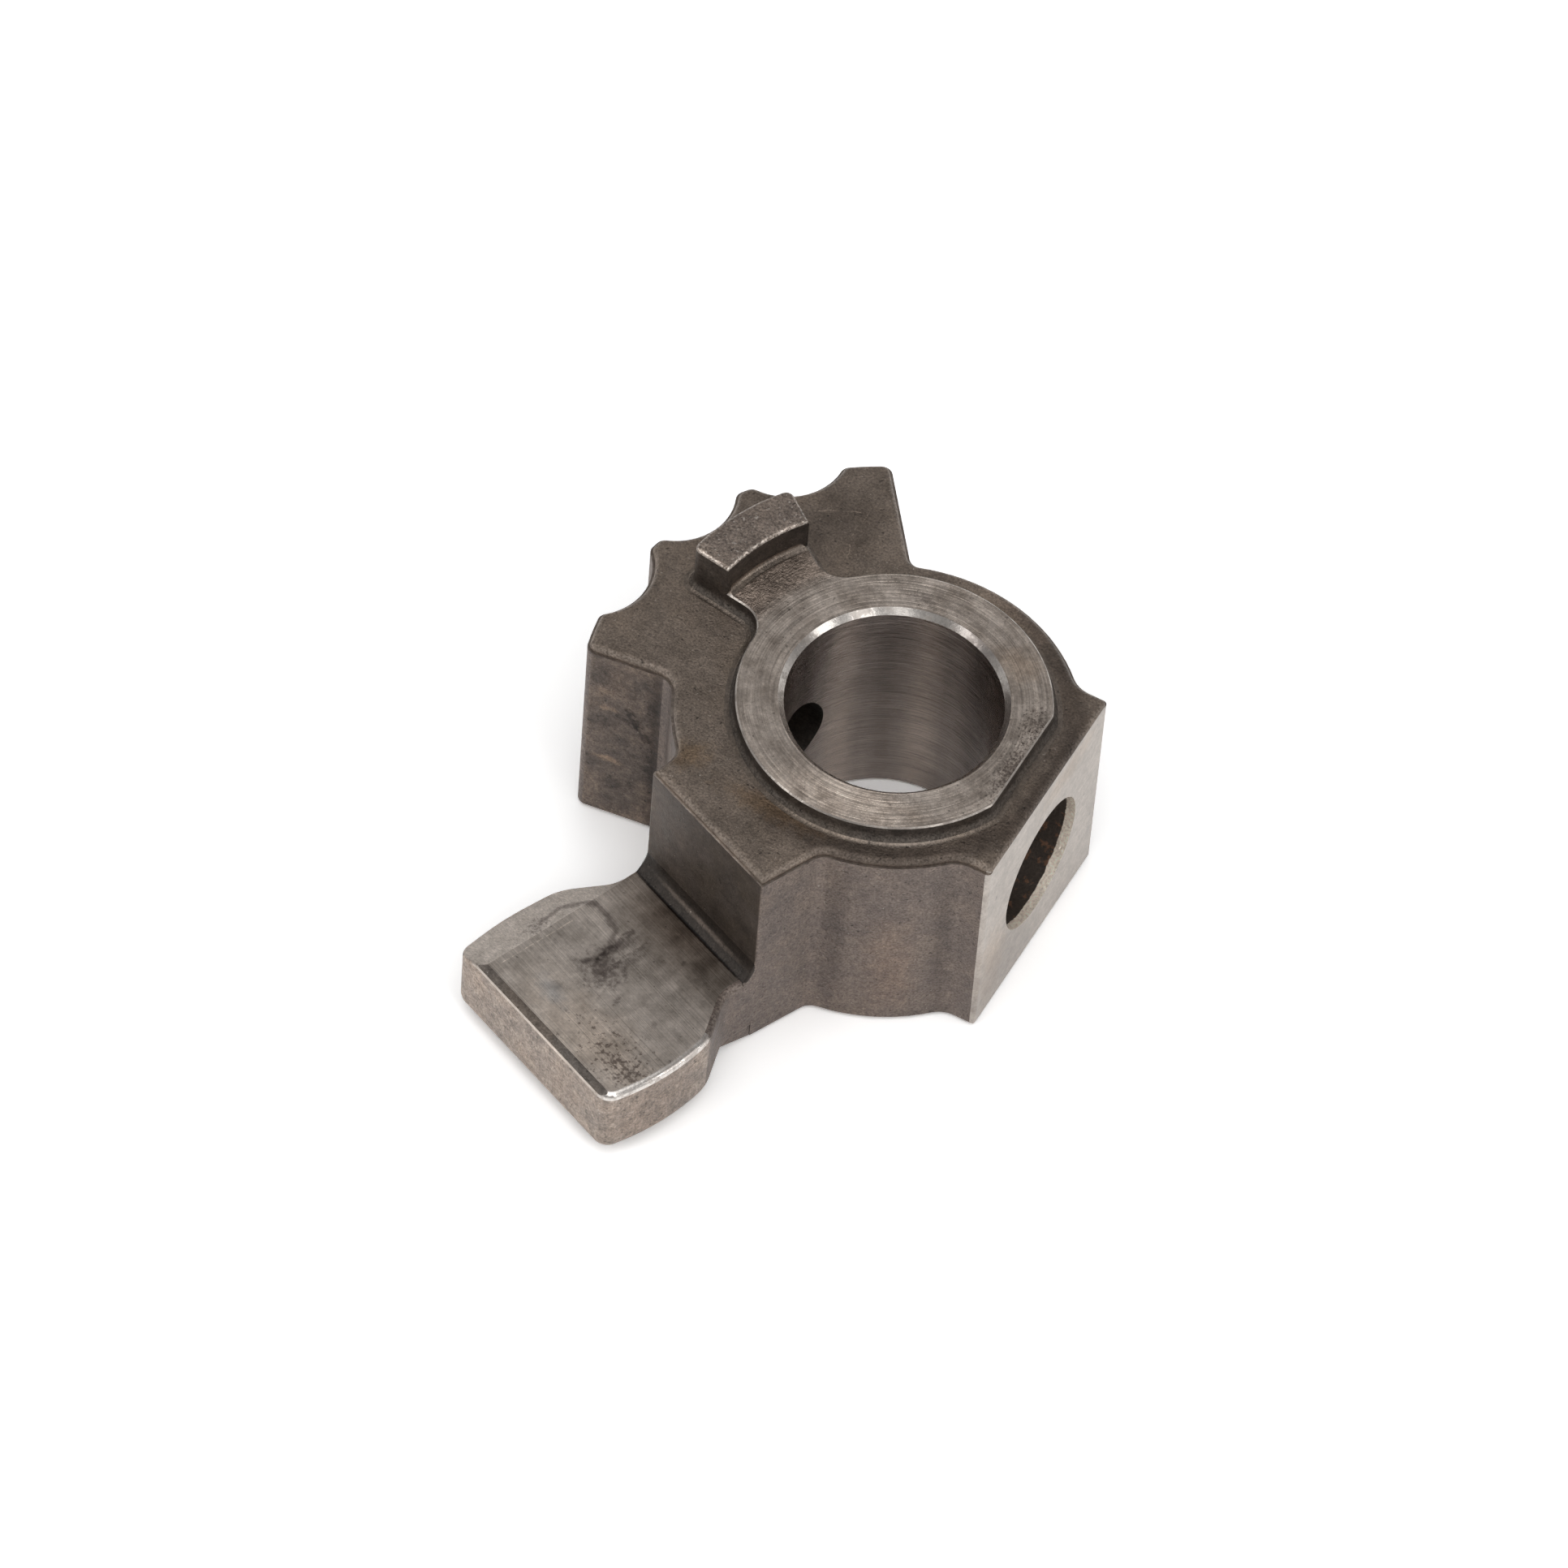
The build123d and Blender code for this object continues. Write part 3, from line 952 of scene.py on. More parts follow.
FLANK = ForgedSkin(
    "forged flank",
    marks=(
        Scratch((-25.2, -8.1, 18.2), (-23.1, -7.8, 14.3), 1.5, SOOT_AND_SHADE, 1.0, wander=0.2),
        Scratch((-26.3, -8.2, 16.9), (-24.2, -7.9, 15.9), 0.9, SOOT_AND_SHADE, 0.8, wander=0.2),
        Stain((-30.2, -8.7, 13.0), (1.1, 1.4, 15.0), SAND, 0.4, edge=2.0, ragged=0.8),
        # Painted shade in the concave corner where the flank meets the hub
        Stain((-21.6, -7.6, 13.0), (2.2, 2.4, 40.0), SOOT_AND_SHADE, 0.95, edge=2.0, ragged=0.7, core=0.25),
        Stain((-27.5, -8.4, 22.2), (3.8, 2.0, 3.2), SOOT_AND_SHADE, 0.4, edge=1.5),
        Stain((-27.1, -8.3, 9.3), (2.3, 1.0, 0.7), SAND, 0.85, edge=0.8, ragged=1.6),
        Stain((-27.9, -8.4, 20.2), (1.2, 1.0, 1.2), SAND, 0.25, edge=0.8, ragged=1.6),
        Stain((-27.5, -8.4, 17.6), (2.2, 1.0, 0.6), SAND, 0.6, edge=0.6, ragged=1.8),
        Stain((-21.5, -7.6, 21.3), (0.5, 0.6, 0.6), SOOT_AND_SHADE, 0.9, edge=0.3),
        Stain((-27.7, -8.4, 15.2), (1.4, 1.0, 1.2), SOOT_AND_SHADE, 0.6, edge=0.9, ragged=2.0),
        Stain((-26.0, -8.2, 5.8), (2.6, 1.0, 1.6), SOOT_AND_SHADE, 0.35, edge=1.0, ragged=2.0),
    ),
    dark=(0.076, 0.06, 0.051), light=(0.175, 0.139, 0.117), brown=(0.25, 0.19, 0.15), worn=(0.4, 0.36, 0.32),
    cloud=2.0,
)
LUG_SKIN = ForgedSkin(
    "forged lug",
    depth=0.06,
    marks=(
        *(
            Scratch(polar(21.0, turn, LUG_TOP), polar(21.0, turn + 7.1, LUG_TOP), 0.5, BRIGHT, 0.9, wander=0.2)
            for turn in (143.4, 150.5, 157.6, 164.7)
        ),
        Scratch(polar(21.0, 171.4, LUG_TOP), polar(25.2, 171.4, LUG_TOP), 0.5, BRIGHT, 0.8, wander=0.2),
    ),
    dark=(0.14, 0.112, 0.094), light=(0.27, 0.22, 0.187), brown=(0.24, 0.192, 0.158), worn=(0.7, 0.64, 0.58),
    grain=0.28, cloud=2.0, contrast=1.2, mottle=0.4, flecks=0.2, wear=0.5,
)
BLEND = ForgedSkin(
    "rubbed blend",
    metallic=0.8, depth=0.012, dark=(0.13, 0.105, 0.087), light=(0.205, 0.168, 0.141), brown=(0.19, 0.15, 0.118),
    worn=(0.5, 0.44, 0.39), rough=(0.17, 0.28), grain=0.24, contrast=0.7, mottle=0.3, wear=0.0,
)
# Painted shade: darker copy of the forged skin for the steep feet of boss and lug and the lug's walls
SHADED_SIDE = ForgedSkin(
    "sooty side",
    dark=(0.045, 0.037, 0.031), light=(0.085, 0.069, 0.058), brown=(0.08, 0.062, 0.048), worn=(0.3, 0.27, 0.24),
    flecks=0.06, wear=0.1,
)
# Painted shade: forged skin darker than the other walls
END_WALL = ForgedSkin(
    "oiled end wall",
    depth=0.012,
    # Painted light: lighter patch at the wall's upper left
    marks=(Stain(on_arm(ARM_LENGTH, -7.6, 21.0), (7.5, 7.5, 9.0), BRIGHT, 0.5, edge=2.0),),
    dark=(0.053, 0.043, 0.036), light=(0.088, 0.071, 0.061), brown=(0.088, 0.069, 0.053), worn=(0.3, 0.27, 0.24),
    contrast=0.4, mottle=0.3, flecks=0.07,
)
# Painted shade: very dark skin in the concave foot of the end wall
WALL_FOOT = ForgedSkin(
    "oiled foot",
    depth=0.01,
    marks=(
        # Painted shade along the crease
        CREASE,
        # Painted highlight: bright line along the middle of the foot
        Stain(on_arm(24.12, 0.5, 11.35), (0.4, 9.5, 0.45), SHINE, 0.75, turn=ARM_TURN, edge=0.5, ragged=0.6),
    ),
    dark=(0.025, 0.021, 0.018), light=(0.044, 0.036, 0.031), brown=(0.036, 0.029, 0.024), worn=(0.2, 0.18, 0.16),
    rough=(0.26, 0.34), contrast=0.4, mottle=0.3, flecks=0.05, wear=0.0,
)
FINGER_SIDE = ForgedSkin(
    "trimmed finger side",
    depth=0.025,
    marks=(Stain(on_arm(38.5, 12.3, 5.0), (8.0, 3.0, 9.0), SOOT_AND_SHADE, 0.45, turn=ARM_TURN, edge=3.0, ragged=0.4),),
    dark=(0.25, 0.208, 0.178), light=(0.4, 0.334, 0.286), brown=(0.4, 0.318, 0.26), worn=(0.65, 0.6, 0.56),
    grain=0.24, cloud=2.2, contrast=0.85, pits=0.14,
)
FINGER_RIM = WornEdge(
    "rubbed finger rim",
    depth=0.004, bright=(0.7, 0.655, 0.615), dull=(0.5, 0.455, 0.42), rough=(0.3, 0.2),
)
END_CHAMFER = ForgedSkin(
    "milled end chamfer",
    metallic=0.85, depth=0.01, dark=(0.112, 0.096, 0.085), light=(0.19, 0.167, 0.149), brown=(0.2, 0.16, 0.13),
    worn=(0.5, 0.46, 0.42), contrast=0.6,
)
UNDERSIDE = ForgedSkin(
    "forged underside",
    dark=(0.1, 0.08, 0.066), light=(0.18, 0.145, 0.12), brown=(0.18, 0.13, 0.09), worn=(0.4, 0.36, 0.32),
)
RING = TurnedFace(
    "faced ring",
    depth=0.026,
    marks=(
        Stain((13.9, -1.5, BOSS_TOP), (1.5, 5.0, 2.0), SOOT_AND_SHADE, 1.0, edge=0.28, ragged=6.0, core=0.0, sparse=0.12),
        Stain((13.6, 4.5, BOSS_TOP), (2.2, 3.0, 2.0), SOOT_AND_SHADE, 0.9, edge=0.28, ragged=6.0, core=0.0, sparse=0.25),
        Stain((8.6, 10.1, BOSS_TOP), (3.6, 3.2, 2.0), RUST, 0.5),
        # Painted light: lighter front part of the ring
        Stain((0.8, -13.4, BOSS_TOP), (11.0, 3.6, 2.0), PALE, 1.0, turn=8.0, edge=2.5, ragged=0.8, core=0.3),
        Stain((-3.6, -13.8, BOSS_TOP), (3.6, 1.2, 2.0), SOOT_AND_SHADE, 0.45, turn=-20.0, edge=0.9, ragged=2.0),
        Stain((-3.4, 12.6, BOSS_TOP), (1.6, 1.0, 2.0), SOOT_AND_SHADE, 0.6, edge=0.5, ragged=2.6, core=0.0),
    ),
    dark=(0.34, 0.285, 0.243), light=(0.595, 0.517, 0.456), bridge=(0.3, 0.24, 0.2),
)
BORE_WALL = BoredWall(
    "bored wall",
    depth=0.03,
    marks=(
        # Painted reflection bands, lighter and darker, running up the bore's wall
        *(
            Stain(polar(BORE_R, bearing, MID_LEVEL), (half, half, BAND_HEIGHT), tint, share, edge=3.0, ragged=0.2)
            for bearing, half, tint, share in (
                (168.0, 2.2, SOOT_AND_SHADE, 0.55),
                (144.0, 2.6, PALE, 1.0),
                (120.0, 1.8, SOOT_AND_SHADE, 0.28),
                (99.0, 2.6, PALE, 1.0),
                (64.0, 3.4, SOOT_AND_SHADE, 0.72),
            )
        ),
        # Painted shade: the bore's far side darker towards the bottom
        Stain((0.0, BORE_R, 0.0), (9.0, 6.0, 10.0), SOOT_AND_SHADE, 0.5, edge=3.0, ragged=0.2),
    ),
    dark=(0.277, 0.233, 0.208), light=(0.34, 0.289, 0.26),
)
PAD = CutFace(
    "ground pad",
    depth=0.004,
    marks=(
        Stain((PAD_X, -10.2, 19.4), (1.0, 0.3, 0.5), SOOT_AND_SHADE, 0.7, edge=0.3),
        Stain((PAD_X, -9.5, 8.0), (2.0, 4.0, 9.0), RUST, 0.5, edge=2.5),
        Stain((PAD_X, -8.0, 4.0), (2.0, 11.0, 9.5), SOOT_AND_SHADE, 0.4, edge=3.0),
        Stain((PAD_X, 4.0, 23.6), (2.0, 8.0, 2.6), RUST, 0.5, edge=2.0),
    ),
    dark=(0.35, 0.31, 0.276), light=(0.48, 0.438, 0.402), lay=90.0, spacing=0.3, contrast=0.1, grain=0.24,
    cloud=3.4,
)
FINGER_TOP = CutFace(
    "milled finger top",
    depth=0.006,
    marks=(
        Stain(
            on_arm(34.4, -6.3, FINGER_LEVEL), (4.1, 3.9, 3.0), SOOT_AND_SHADE, 0.75, turn=ARM_ANGLE, edge=2.0, ragged=0.4,
            part=Part.TIDE_MARK, open_from=0.3,
        ),
        # Painted shade: finger's top darker towards the arm's end wall
        arm_stain(25.2, 0.0, (7.5, 15.0), WALL_SHADE, 0.9, edge=6.0, ragged=0.3),
        arm_stain(41.5, 2.0, (6.0, 13.0), PALE, 0.42, edge=4.0, ragged=0.5),
        Scratch(on_arm(34.8, -2.3, FINGER_LEVEL), on_arm(29.8, -3.0, FINGER_LEVEL), 1.0, SOOT_AND_SHADE, 0.8, wander=1.2),
        Scratch(on_arm(35.5, -0.6, FINGER_LEVEL), on_arm(29.6, -0.9, FINGER_LEVEL), 0.8, SOOT_AND_SHADE, 0.6, wander=1.2),
        Stain(
            on_arm(37.0, -9.4, 10.0), (2.6, 1.7, 3.0), SOOT_AND_SHADE, 0.8, turn=ARM_TURN, edge=0.4, ragged=5.0, core=0.0,
            sparse=0.4,
        ),
        Scratch(on_arm(42.6, -7.7, FINGER_LEVEL), on_arm(33.8, -7.6, FINGER_LEVEL), 0.16, PALE, 0.9, wander=0.2),
        arm_stain(35.1, -1.0, (3.2, 3.4), SOOT_AND_SHADE, 1.0, edge=0.8, ragged=2.6, core=0.0),
        arm_stain(32.0, -2.2, (3.0, 1.0), SOOT_AND_SHADE, 0.8, edge=0.7, ragged=1.8),
        arm_stain(32.2, -0.2, (2.2, 0.7), SOOT_AND_SHADE, 0.6, edge=0.5, ragged=2.2),
        arm_stain(40.8, -2.0, (1.6, 3.6), BLUED, 0.7),
        arm_stain(40.8, 9.4, (3.4, 7.0), SOOT_AND_SHADE, 1.0, edge=0.5, ragged=6.5, core=0.0, sparse=0.45),
        arm_stain(41.0, 5.0, (5.0, 12.0), RUST, 0.3, edge=3.0),
        # Painted shade along the crease
        CREASE,
        Stain(on_arm(28.2, 3.1, FINGER_LEVEL), (0.3, 0.5, 1.0), SOOT_AND_SHADE, 0.7, edge=0.3),
        Stain(on_arm(36.3, 2.7, FINGER_LEVEL), (0.5, 0.9, 1.0), SOOT_AND_SHADE, 0.7, edge=0.3, ragged=2.0),
        Stain(on_arm(35.1, 7.2, FINGER_LEVEL), (0.4, 0.5, 1.0), SOOT_AND_SHADE, 0.5, edge=0.3),
    ),
    dark=(0.395, 0.346, 0.304), light=(0.57, 0.507, 0.456), lay=ARM_ANGLE + 90.0, spacing=0.13, stroke=26.0,
    contrast=0.46,
)
# Mouth partly painted light, dark inside partly painted shade
CROSS_WALL = DrilledWall(
    "drilled wall",
    metallic=0.5, mouth=(0.98, 0.86, 0.73), deep=(0.05, 0.038, 0.03), rust=(0.14, 0.075, 0.045),
)
# Painted shade: near-black skin inside the blind hole
FAR_WALL = ForgedSkin(
    "drilled blind end",
    metallic=0.5, dark=(0.03, 0.026, 0.022), light=(0.05, 0.042, 0.036), brown=(0.05, 0.036, 0.026),
    worn=(0.05, 0.042, 0.036), wear=0.0,
)
RUBBED_EDGE = WornEdge(
    "rubbed edge",
    depth=0.01, bright=(0.38, 0.343, 0.31), dull=(0.28, 0.247, 0.222),
)
TRIM_LEDGE = WornEdge(
    "trim ledge",
    metallic=0.9, depth=0.015,
    # Painted highlight along the ledge at the arm's end
    marks=(Stain(on_arm(23.5, 0.0, LEDGE_LEVEL), (1.0, 10.0, 2.0), BRIGHT, 0.9, turn=ARM_TURN, core=0.5),),
    bright=(0.27, 0.23, 0.2), dull=(0.17, 0.14, 0.12), bare=(0.3, 0.8),
)
CHAMFER = WornEdge(
    "bright chamfer",
    depth=0.004,
    # Painted shade that dims the chamfer's highlight at three places round the bore
    marks=tuple(
        Stain(polar(11.3, bearing, 28.0), (reach, reach, MARK_DEPTH), SOOT_AND_SHADE, strength, edge=2.0, ragged=0.3)
        for bearing, reach, strength in ((20.0, 7.0, 0.9), (72.0, 6.0, 0.9), (176.0, 5.0, 0.6))
    ),
    bright=(0.62, 0.58, 0.54), dull=(0.46, 0.42, 0.385), rough=(0.32, 0.22), bare=(0.2, 0.5),
)


# How far upwards, from -1 to 1, the different faces look
LEVEL = 0.999
BEVEL = (0.5, 0.9)
STEEP = 0.3
DOWNWARD = -0.9

# How close in millimetres two places have to be to count as one
CLOSE = 0.01


@dataclass(frozen=True)
class Spot:
    """Middle of one small face of the forging, in millimetres, and the way the face looks."""

    centre: Vector
    normal: Vector

    @property
    def radius(self) -> float:
        """Distance from the bore's axis."""
        return math.hypot(self.centre.x, self.centre.y)

    @property
    def level(self) -> float:
        """Height over the underside."""
        return self.centre.z

    @property
    def lift(self) -> float:
        """How far the face looks upwards, from -1 to 1."""
        return self.normal.z

    @property
    def bevelled(self) -> bool:
        """Whether the face slopes like a chamfer."""
        least, most = BEVEL
        return least < abs(self.lift) < most

    @property
    def faces_down(self) -> bool:
        """Whether the face looks down."""
        return self.lift < DOWNWARD

    def flat_at(self, level: float) -> bool:
        """Whether the face is level, looks up and lies at a height."""
        return self.lift > LEVEL and abs(self.level - level) < CLOSE

    def along(self, angle: float) -> float:
        """Distance from the bore's axis in a direction."""
        return self.centre.dot(Vector(polar(1.0, angle, 0.0)))

    def looks(self, angle: float) -> float:
        """How far the face looks in a level direction, from -1 to 1."""
        return self.normal.dot(Vector(polar(1.0, angle, 0.0)))

    def off_cross_axis(self) -> float:
        """Distance from the axis of the cross hole."""
        return math.hypot(self.centre.y, self.centre.z - BODY_TOP / 2)


@dataclass(frozen=True)
class Hub:
    """Bored boss with its faced ring, and the foot that blends it and the stop lug into the deck."""

    bore_r: float = BORE_R
    chamfer: float = 0.6
    edge: float = 0.15
    foot: float = 0.35
    foot_slope: Pair = (0.6, 0.8)
    foot_r: float = 1.0
    foot_steps: int = 6
    blend_from: float = 0.8
    slack: float = 0.005
    cut_slack: float = 1e-7
    least_fit: float = 0.5

    def foot_strip(self, shape: bmesh.types.BMesh) -> list[bmesh.types.BMFace]:
        """Sloped faces round the foot, between the deck and the upright walls.

        Args:
            shape: The merged mesh of the solid.

        Returns:
            The strip's faces.
        """
        low = (BODY_TOP - self.slack) * MM
        high = (BODY_TOP + self.foot + self.slack) * MM
        least, most = self.foot_slope
        sloped = [face for face in shape.faces if least < face.normal.z < most]
        return [face for face in sloped if all(low < vert.co.z < high for vert in face.verts)]

    def deck(self, shape: bmesh.types.BMesh) -> list[bmesh.types.BMFace]:
        """Flat faces of the deck round the foot."""
        level = [face for face in shape.faces if face.normal.z > LEVEL]
        return [face for face in level if abs(face.calc_center_median().z / MM - BODY_TOP) < self.slack]

    def outward(self, vert: bmesh.types.BMVert, strip: set[bmesh.types.BMFace]) -> Vector:
        """Level way out of the foot at a corner, as long as the corner needs for all its faces to move by one.

        Args:
            vert: The corner.
            strip: The foot's sloped faces.

        Returns:
            The way.
        """
        ways = [Vector((*face.normal.xy, 0.0)).normalized() for face in vert.link_faces if face in strip]
        middle = sum(ways, Vector()).normalized()
        return middle / max(self.least_fit, sum(middle.dot(way) for way in ways) / len(ways))

    def round_foot(self, shape: bmesh.types.BMesh) -> None:
        """Swells the small chamfer at the foot into a hollow round blend.

        Args:
            shape: The merged mesh of the solid.
        """
        for step in range(1, self.foot_steps):
            cut = Vector((0.0, 0.0, (BODY_TOP + self.foot * step / self.foot_steps) * MM))
            strip = self.foot_strip(shape)
            edges = {edge for face in strip for edge in face.edges}
            verts = {vert for face in strip for vert in face.verts}
            geometry = [*verts, *edges, *strip]
            bmesh.ops.bisect_plane(shape, geom=geometry, dist=self.cut_slack, plane_co=cut, plane_no=(0.0, 0.0, 1.0))
        strip = set(self.foot_strip(shape))
        ways = {vert: self.outward(vert, strip) for vert in {vert for face in strip for vert in face.verts}}
        flat = set(self.deck(shape))
        rims = {edge for face in flat for edge in face.edges}
        rims = [edge for edge in rims if sum(face in flat for face in edge.link_faces) == 1]
        bmesh.ops.delete(shape, geom=list(flat), context="FACES")
        for vert, way in ways.items():
            share = min(1.0, max(0.0, (vert.co.z / MM - BODY_TOP) / self.foot))
            angle = share * math.pi / 2
            reach = self.foot_r * (1.0 - math.sin(angle)) - self.foot * (1.0 - share)
            level = (BODY_TOP + self.foot_r * (1.0 - math.cos(angle))) * MM
            vert.co = Vector((*(vert.co + way * reach * MM).xy, level))
        made = bmesh.ops.triangle_fill(shape, use_beauty=True, edges=rims, normal=(0.0, 0.0, 1.0))["geom"]
        faces = [item for item in made if isinstance(item, bmesh.types.BMFace)]
        shape.normal_update()
        bmesh.ops.reverse_faces(shape, faces=[face for face in faces if face.normal.z < 0.0])
        shape.normal_update()

    def finish_at(self, spot: Spot) -> Optional[Finish]:
        """Finish of a face of the hub, or None if the face belongs elsewhere.

        Args:
            spot: The face's middle and the way it looks.

        Returns:
            The finish, or None.
        """
        if spot.radius < self.bore_r + CLOSE and abs(spot.lift) < STEEP:
            return BORE_WALL
        if spot.radius < self.bore_r + self.chamfer and spot.bevelled:
            return CHAMFER
        if spot.flat_at(BOSS_TOP):
            return RING
        if BOSS_TOP - self.edge < spot.level < BOSS_TOP and spot.bevelled:
            return RUBBED_EDGE
        if BODY_TOP + CLOSE < spot.level < BOSS_TOP:
            # Painted shade on the steep part of the foot; the low part keeps the rubbed blend
            return BLEND if spot.lift > self.blend_from else SHADED_SIDE
        return None


@dataclass(frozen=True)
class FlatPad:
    """Ground flat with the cross hole and the blind hole across from it."""

    face_x: float = PAD_X
    half_width: float = 12.5
    corner_r: float = 0.5
    cross_r: float = 7.3
    far_r: float = 4.9
    cross_from: float = 8.0
    far_span: Pair = (10.0, 20.0)

    def finish_at(self, spot: Spot) -> Optional[Finish]:
        """Finish of a face of the pad or its holes, or None if the face belongs elsewhere.

        Args:
            spot: The face's middle and the way it looks.

        Returns:
            The finish, or None.
        """
        off = spot.off_cross_axis()
        on_face = spot.normal.x > LEVEL and spot.centre.x > self.face_x - CLOSE
        in_corner = spot.centre.x > self.face_x - self.corner_r and abs(spot.centre.y) > self.half_width - self.corner_r
        if on_face or in_corner and abs(spot.lift) < STEEP:
            return PAD
        across_hole = abs(spot.normal.x) < STEEP and spot.radius > self.cross_from
        if spot.centre.x > 0 and off < self.cross_r + CLOSE and across_hole:
            return CROSS_WALL
        nearest, farthest = self.far_span
        if spot.centre.x < 0 and off < self.far_r + CLOSE and nearest < spot.radius < farthest:
            return FAR_WALL
        return None


@dataclass(frozen=True)
class StopLug:
    """Lug that stands on the rim of the hub over the sector, with its walls painted darker than its top as shade."""

    foot_from: float = BOSS_TOP + 0.002
    foot_to: float = BOSS_TOP + 0.8
    top_from: float = 0.25

    def finish_at(self, spot: Spot) -> Optional[Finish]:
        """Finish of a face of the lug, or None if the face belongs elsewhere.

        Args:
            spot: The face's middle and the way it looks.

        Returns:
            The finish, or None.
        """
        if spot.level < self.foot_from:
            return None
        # Painted shade on the lug's walls
        if spot.lift < self.top_from:
            return SHADED_SIDE
        return LUG_SKIN if spot.level > self.foot_to else BLEND


@dataclass(frozen=True)
class DetentSector:
    """Toothed sector; its lower flank is stained by what it ran against, and painted darker as shade towards the hub.
    """

    flank_looks: float = -82.5
    flank_off: float = 4.72
    slack: float = 0.6
    least_facing: float = 0.95
    reach_from: float = 20.0

    def finish_at(self, spot: Spot) -> Optional[Finish]:
        """Finish of the sector's lower flank, or None for any other face.

        Args:
            spot: The face's middle and the way it looks.

        Returns:
            The finish, or None.
        """
        in_plane = abs(spot.along(self.flank_looks) - self.flank_off) < self.slack
        faces_it = in_plane and spot.looks(self.flank_looks) > self.least_facing
        return FLANK if faces_it and spot.radius > self.reach_from and spot.level < LEDGE_LEVEL else None


@dataclass(frozen=True)
class Arm:
    """Arm with its end wall and the concave foot of that wall."""

    length: float = ARM_LENGTH
    half_width: float = 8.68
    foot_top: float = 13.1
    foot_reach: float = 25.1
    slack: float = 0.05
    least_facing: float = 0.9

    def finish_at(self, spot: Spot) -> Optional[Finish]:
        """Finish of the end wall and its foot, or None if the face belongs elsewhere.

        Args:
            spot: The face's middle and the way it looks.

        Returns:
            The finish, or None.
        """
        along = spot.along(ARM_ANGLE)
        if abs(spot.along(ARM_ANGLE + 90.0)) > self.half_width:
            return None
        on_wall = spot.looks(ARM_ANGLE) > self.least_facing and abs(along - self.length) < self.slack
        if on_wall and spot.level < LEDGE_LEVEL:
            return END_WALL
        over_top = FINGER_LEVEL < spot.level < self.foot_top
        return WALL_FOOT if over_top and self.length < along < self.foot_reach else None


@dataclass(frozen=True)
class Finger:
    """Shift finger with its milled top, sloped margin, chamfered end and trimmed sides."""

    root: float = ARM_LENGTH
    neck_end: float = 31.7
    rim_r: float = 0.8
    rim_lift: Pair = (0.1, 0.99)
    right_from: float = 0.1
    chamfer_from: float = 43.0
    chamfer_lift: Pair = (0.85, 0.93)
    chamfer_facing: float = 0.4
    top_from: float = 0.85

    def finish_at(self, spot: Spot) -> Optional[Finish]:
        """Finish of a face of the finger, or None if the face belongs elsewhere.

        Args:
            spot: The face's middle and the way it looks.

        Returns:
            The finish, or None.
        """
        along = spot.along(ARM_ANGLE)
        if along < self.root or spot.level > FINGER_LEVEL + CLOSE or spot.level < 0.0:
            return None
        if spot.faces_down:
            return UNDERSIDE
        least, most = self.chamfer_lift
        if along > self.chamfer_from and least < spot.lift < most and spot.looks(ARM_ANGLE) > self.chamfer_facing:
            return END_CHAMFER
        least, most = self.rim_lift
        at_rim = spot.level > FINGER_LEVEL - self.rim_r and least < spot.lift < most
        if at_rim and spot.looks(ARM_ANGLE + 90.0) > self.right_from:
            return FINGER_RIM if along > self.neck_end else WALL
        if at_rim or spot.lift > self.top_from:
            return FINGER_TOP
        return FINGER_SIDE if along > self.neck_end else WALL


@dataclass(frozen=True)
class Body:
    """Forged body between the machined places: deck, trim ledge, walls and underside."""

    ledge: float = LEDGE_LEVEL

    def finish_at(self, spot: Spot) -> Finish:
        """Finish of a face of the body.

        Args:
            spot: The face's middle and the way it looks.

        Returns:
            The finish.
        """
        if spot.flat_at(self.ledge):
            return TRIM_LEDGE
        if spot.level > self.ledge:
            return DECK
        return UNDERSIDE if spot.faces_down else WALL


